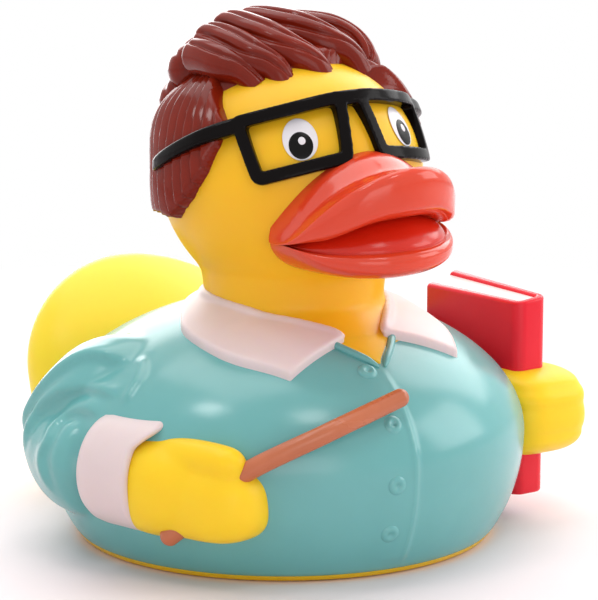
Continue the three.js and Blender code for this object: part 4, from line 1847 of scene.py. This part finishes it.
@dataclass
class Studio:
    """Pale floor, soft lamps and the photograph's viewpoint, with lengths in metres."""

    target: Vector = field(default_factory=lambda: Vector((0.003, 0, 0.04)))
    azimuth: float = -33.0
    elevation: float = 9.8
    distance: float = 0.42
    lens: float = 144.0
    floor_colour: str = "#e4dadc"
    lamps: Sequence[Lamp] = (
        Lamp("above_left", -95, 60, 0.6, 0.09, 0.28),
        Lamp("above_front", -12, 62, 0.6, 0.12, 0.25),
        Lamp("front", -25, 2, 0.8, 0.5, 1.25),
        Lamp("right", 58, 22, 0.7, 0.4, 1.4),
        Lamp("back_right", 110, 38, 0.7, 0.5, 2.0),
        Lamp("top", 170, 72, 0.7, 0.55, 1.8),
        Lamp("back", 162, 17, 0.75, 0.5, 2.4),
    )

    def direction(self, azimuth: float, elevation: float) -> Vector:
        """Unit vector from the duck towards a viewpoint."""
        a, e = radians(azimuth), radians(elevation)
        return Vector((sin(a) * cos(e), -cos(a) * cos(e), sin(e)))

    def aim(self, thing: bpy.types.Object, azimuth: float, elevation: float, distance: float) -> None:
        """Put a camera or a lamp in the scene, looking at the duck.

        Args:
            thing: The camera or lamp.
            azimuth: Degrees round from the duck's front.
            elevation: Degrees above the floor.
            distance: Distance in metres.
        """
        towards = self.direction(azimuth, elevation)
        thing.location = self.target + towards * distance
        thing.rotation_euler = (-towards).to_track_quat("-Z", "Y").to_euler()
        bpy.context.scene.collection.objects.link(thing)

    def camera(self) -> None:
        """Set the camera up as the photograph was taken."""
        data = bpy.data.cameras.new("camera")
        data.lens = self.lens
        data.clip_start = 0.01
        made = bpy.data.objects.new("camera", data)
        self.aim(made, self.azimuth, self.elevation, self.distance)
        bpy.context.scene.camera = made

    def light(self, lamp: Lamp) -> None:
        """Add one lamp.

        Args:
            lamp: Its place, width and power.
        """
        data = bpy.data.lights.new(lamp.name, "AREA")
        data.shape = "SQUARE"
        data.size = lamp.width
        data.energy = lamp.power
        made = bpy.data.objects.new(lamp.name, data)
        self.aim(made, lamp.azimuth, lamp.elevation, lamp.distance)

    def world(self) -> None:
        """White surroundings to the eye and to gloss, and a plain light that grows a little to the back."""
        world = bpy.data.worlds.new("studio")
        world.use_nodes = True
        tree = world.node_tree
        tree.nodes.clear()
        path = node(tree, "ShaderNodeLightPath")
        unlit = node(tree, "ShaderNodeMath", operation="MAXIMUM")
        clear = node(tree, "ShaderNodeMath", operation="MAXIMUM")
        place = node(tree, "ShaderNodeTexCoord")
        facing = node(tree, "ShaderNodeVectorMath", operation="DOT_PRODUCT")
        facing.inputs[1].default_value = (0.45, 0.75, 0.48)
        even = node(tree, "ShaderNodeMapRange", From_Min=-0.6, From_Max=0.9, To_Min=0.62, To_Max=0.95)
        strength = node(tree, "ShaderNodeMix", data_type="FLOAT")
        strength.inputs[3].default_value = 1.0
        white = node(tree, "ShaderNodeBackground")
        white.inputs["Color"].default_value = (1, 1, 1, 1)
        out = node(tree, "ShaderNodeOutputWorld")
        wire(
            tree,
            (path, "Is Camera Ray", unlit, 0),
            (path, "Is Transmission Ray", unlit, 1),
            (unlit, 0, clear, 0),
            (path, "Is Glossy Ray", clear, 1),
            (place, "Generated", facing, 0),
            (facing, "Value", even, "Value"),
            (clear, 0, strength, 0),
            (even, "Result", strength, 2),
            (strength, 0, white, "Strength"),
            (white, 0, out, "Surface"),
        )
        bpy.context.scene.world = world

    def floor(self) -> None:
        """Pale floor that keeps the duck's shadow and fades to white further off."""
        bm = bmesh.new()
        bmesh.ops.create_grid(bm, x_segments=1, y_segments=1, size=3)
        mesh = bpy.data.meshes.new("floor")
        bm.to_mesh(mesh)
        bm.free()
        made = bpy.data.objects.new("floor", mesh)
        bpy.context.scene.collection.objects.link(made)
        material = bpy.data.materials.new("floor")
        material.use_nodes = True
        tree = material.node_tree
        shader = tree.nodes["Principled BSDF"]
        shader.inputs["Base Color"].default_value = linear(self.floor_colour)
        shader.inputs["Roughness"].default_value = 0.6
        shader.inputs["Specular IOR Level"].default_value = 0.2
        place = node(tree, "ShaderNodeTexCoord")
        length = node(tree, "ShaderNodeVectorMath", operation="LENGTH")
        fade = node(tree, "ShaderNodeMapRange", From_Min=0.07, From_Max=0.3)
        path = node(tree, "ShaderNodeLightPath")
        share = node(tree, "ShaderNodeMath", operation="MULTIPLY")
        white = node(tree, "ShaderNodeEmission", Strength=1.0)
        blend = node(tree, "ShaderNodeMixShader")
        out = tree.nodes["Material Output"]
        wire(
            tree,
            (place, "Object", length, 0),
            (length, "Value", fade, "Value"),
            (fade, "Result", share, 0),
            (path, "Is Camera Ray", share, 1),
            (share, 0, blend, 0),
            (shader, 0, blend, 1),
            (white, 0, blend, 2),
            (blend, 0, out, "Surface"),
        )
        mesh.materials.append(material)

    def build(self) -> None:
        """Set up the whole studio."""
        self.camera()
        self.floor()
        self.world()
        for lamp in self.lamps:
            self.light(lamp)
        bpy.context.scene.view_settings.view_transform = "Standard"


def main() -> None:
    """Build the studio and every piece of the duck, in order."""
    logging.basicConfig(level=logging.INFO, format="%(name)s %(message)s")
    Studio().build()
    Shirt().build()
    Throat().build()
    Tail().build()
    Head().build()
    Eyes().build()
    Hair().build()
    Glasses().build()
    Beak().build()
    Collar().build()
    RightHand(Vector((-37.2, -5.5, 16.8)), Vector((0.37, -0.93, 0))).build()
    LeftHand(Vector((42.8, 2.5, 18.9)), Vector((0.05, -1, 0))).build()
    Pointer().build()
    Book().build()


if __name__ == "__main__":
    main()
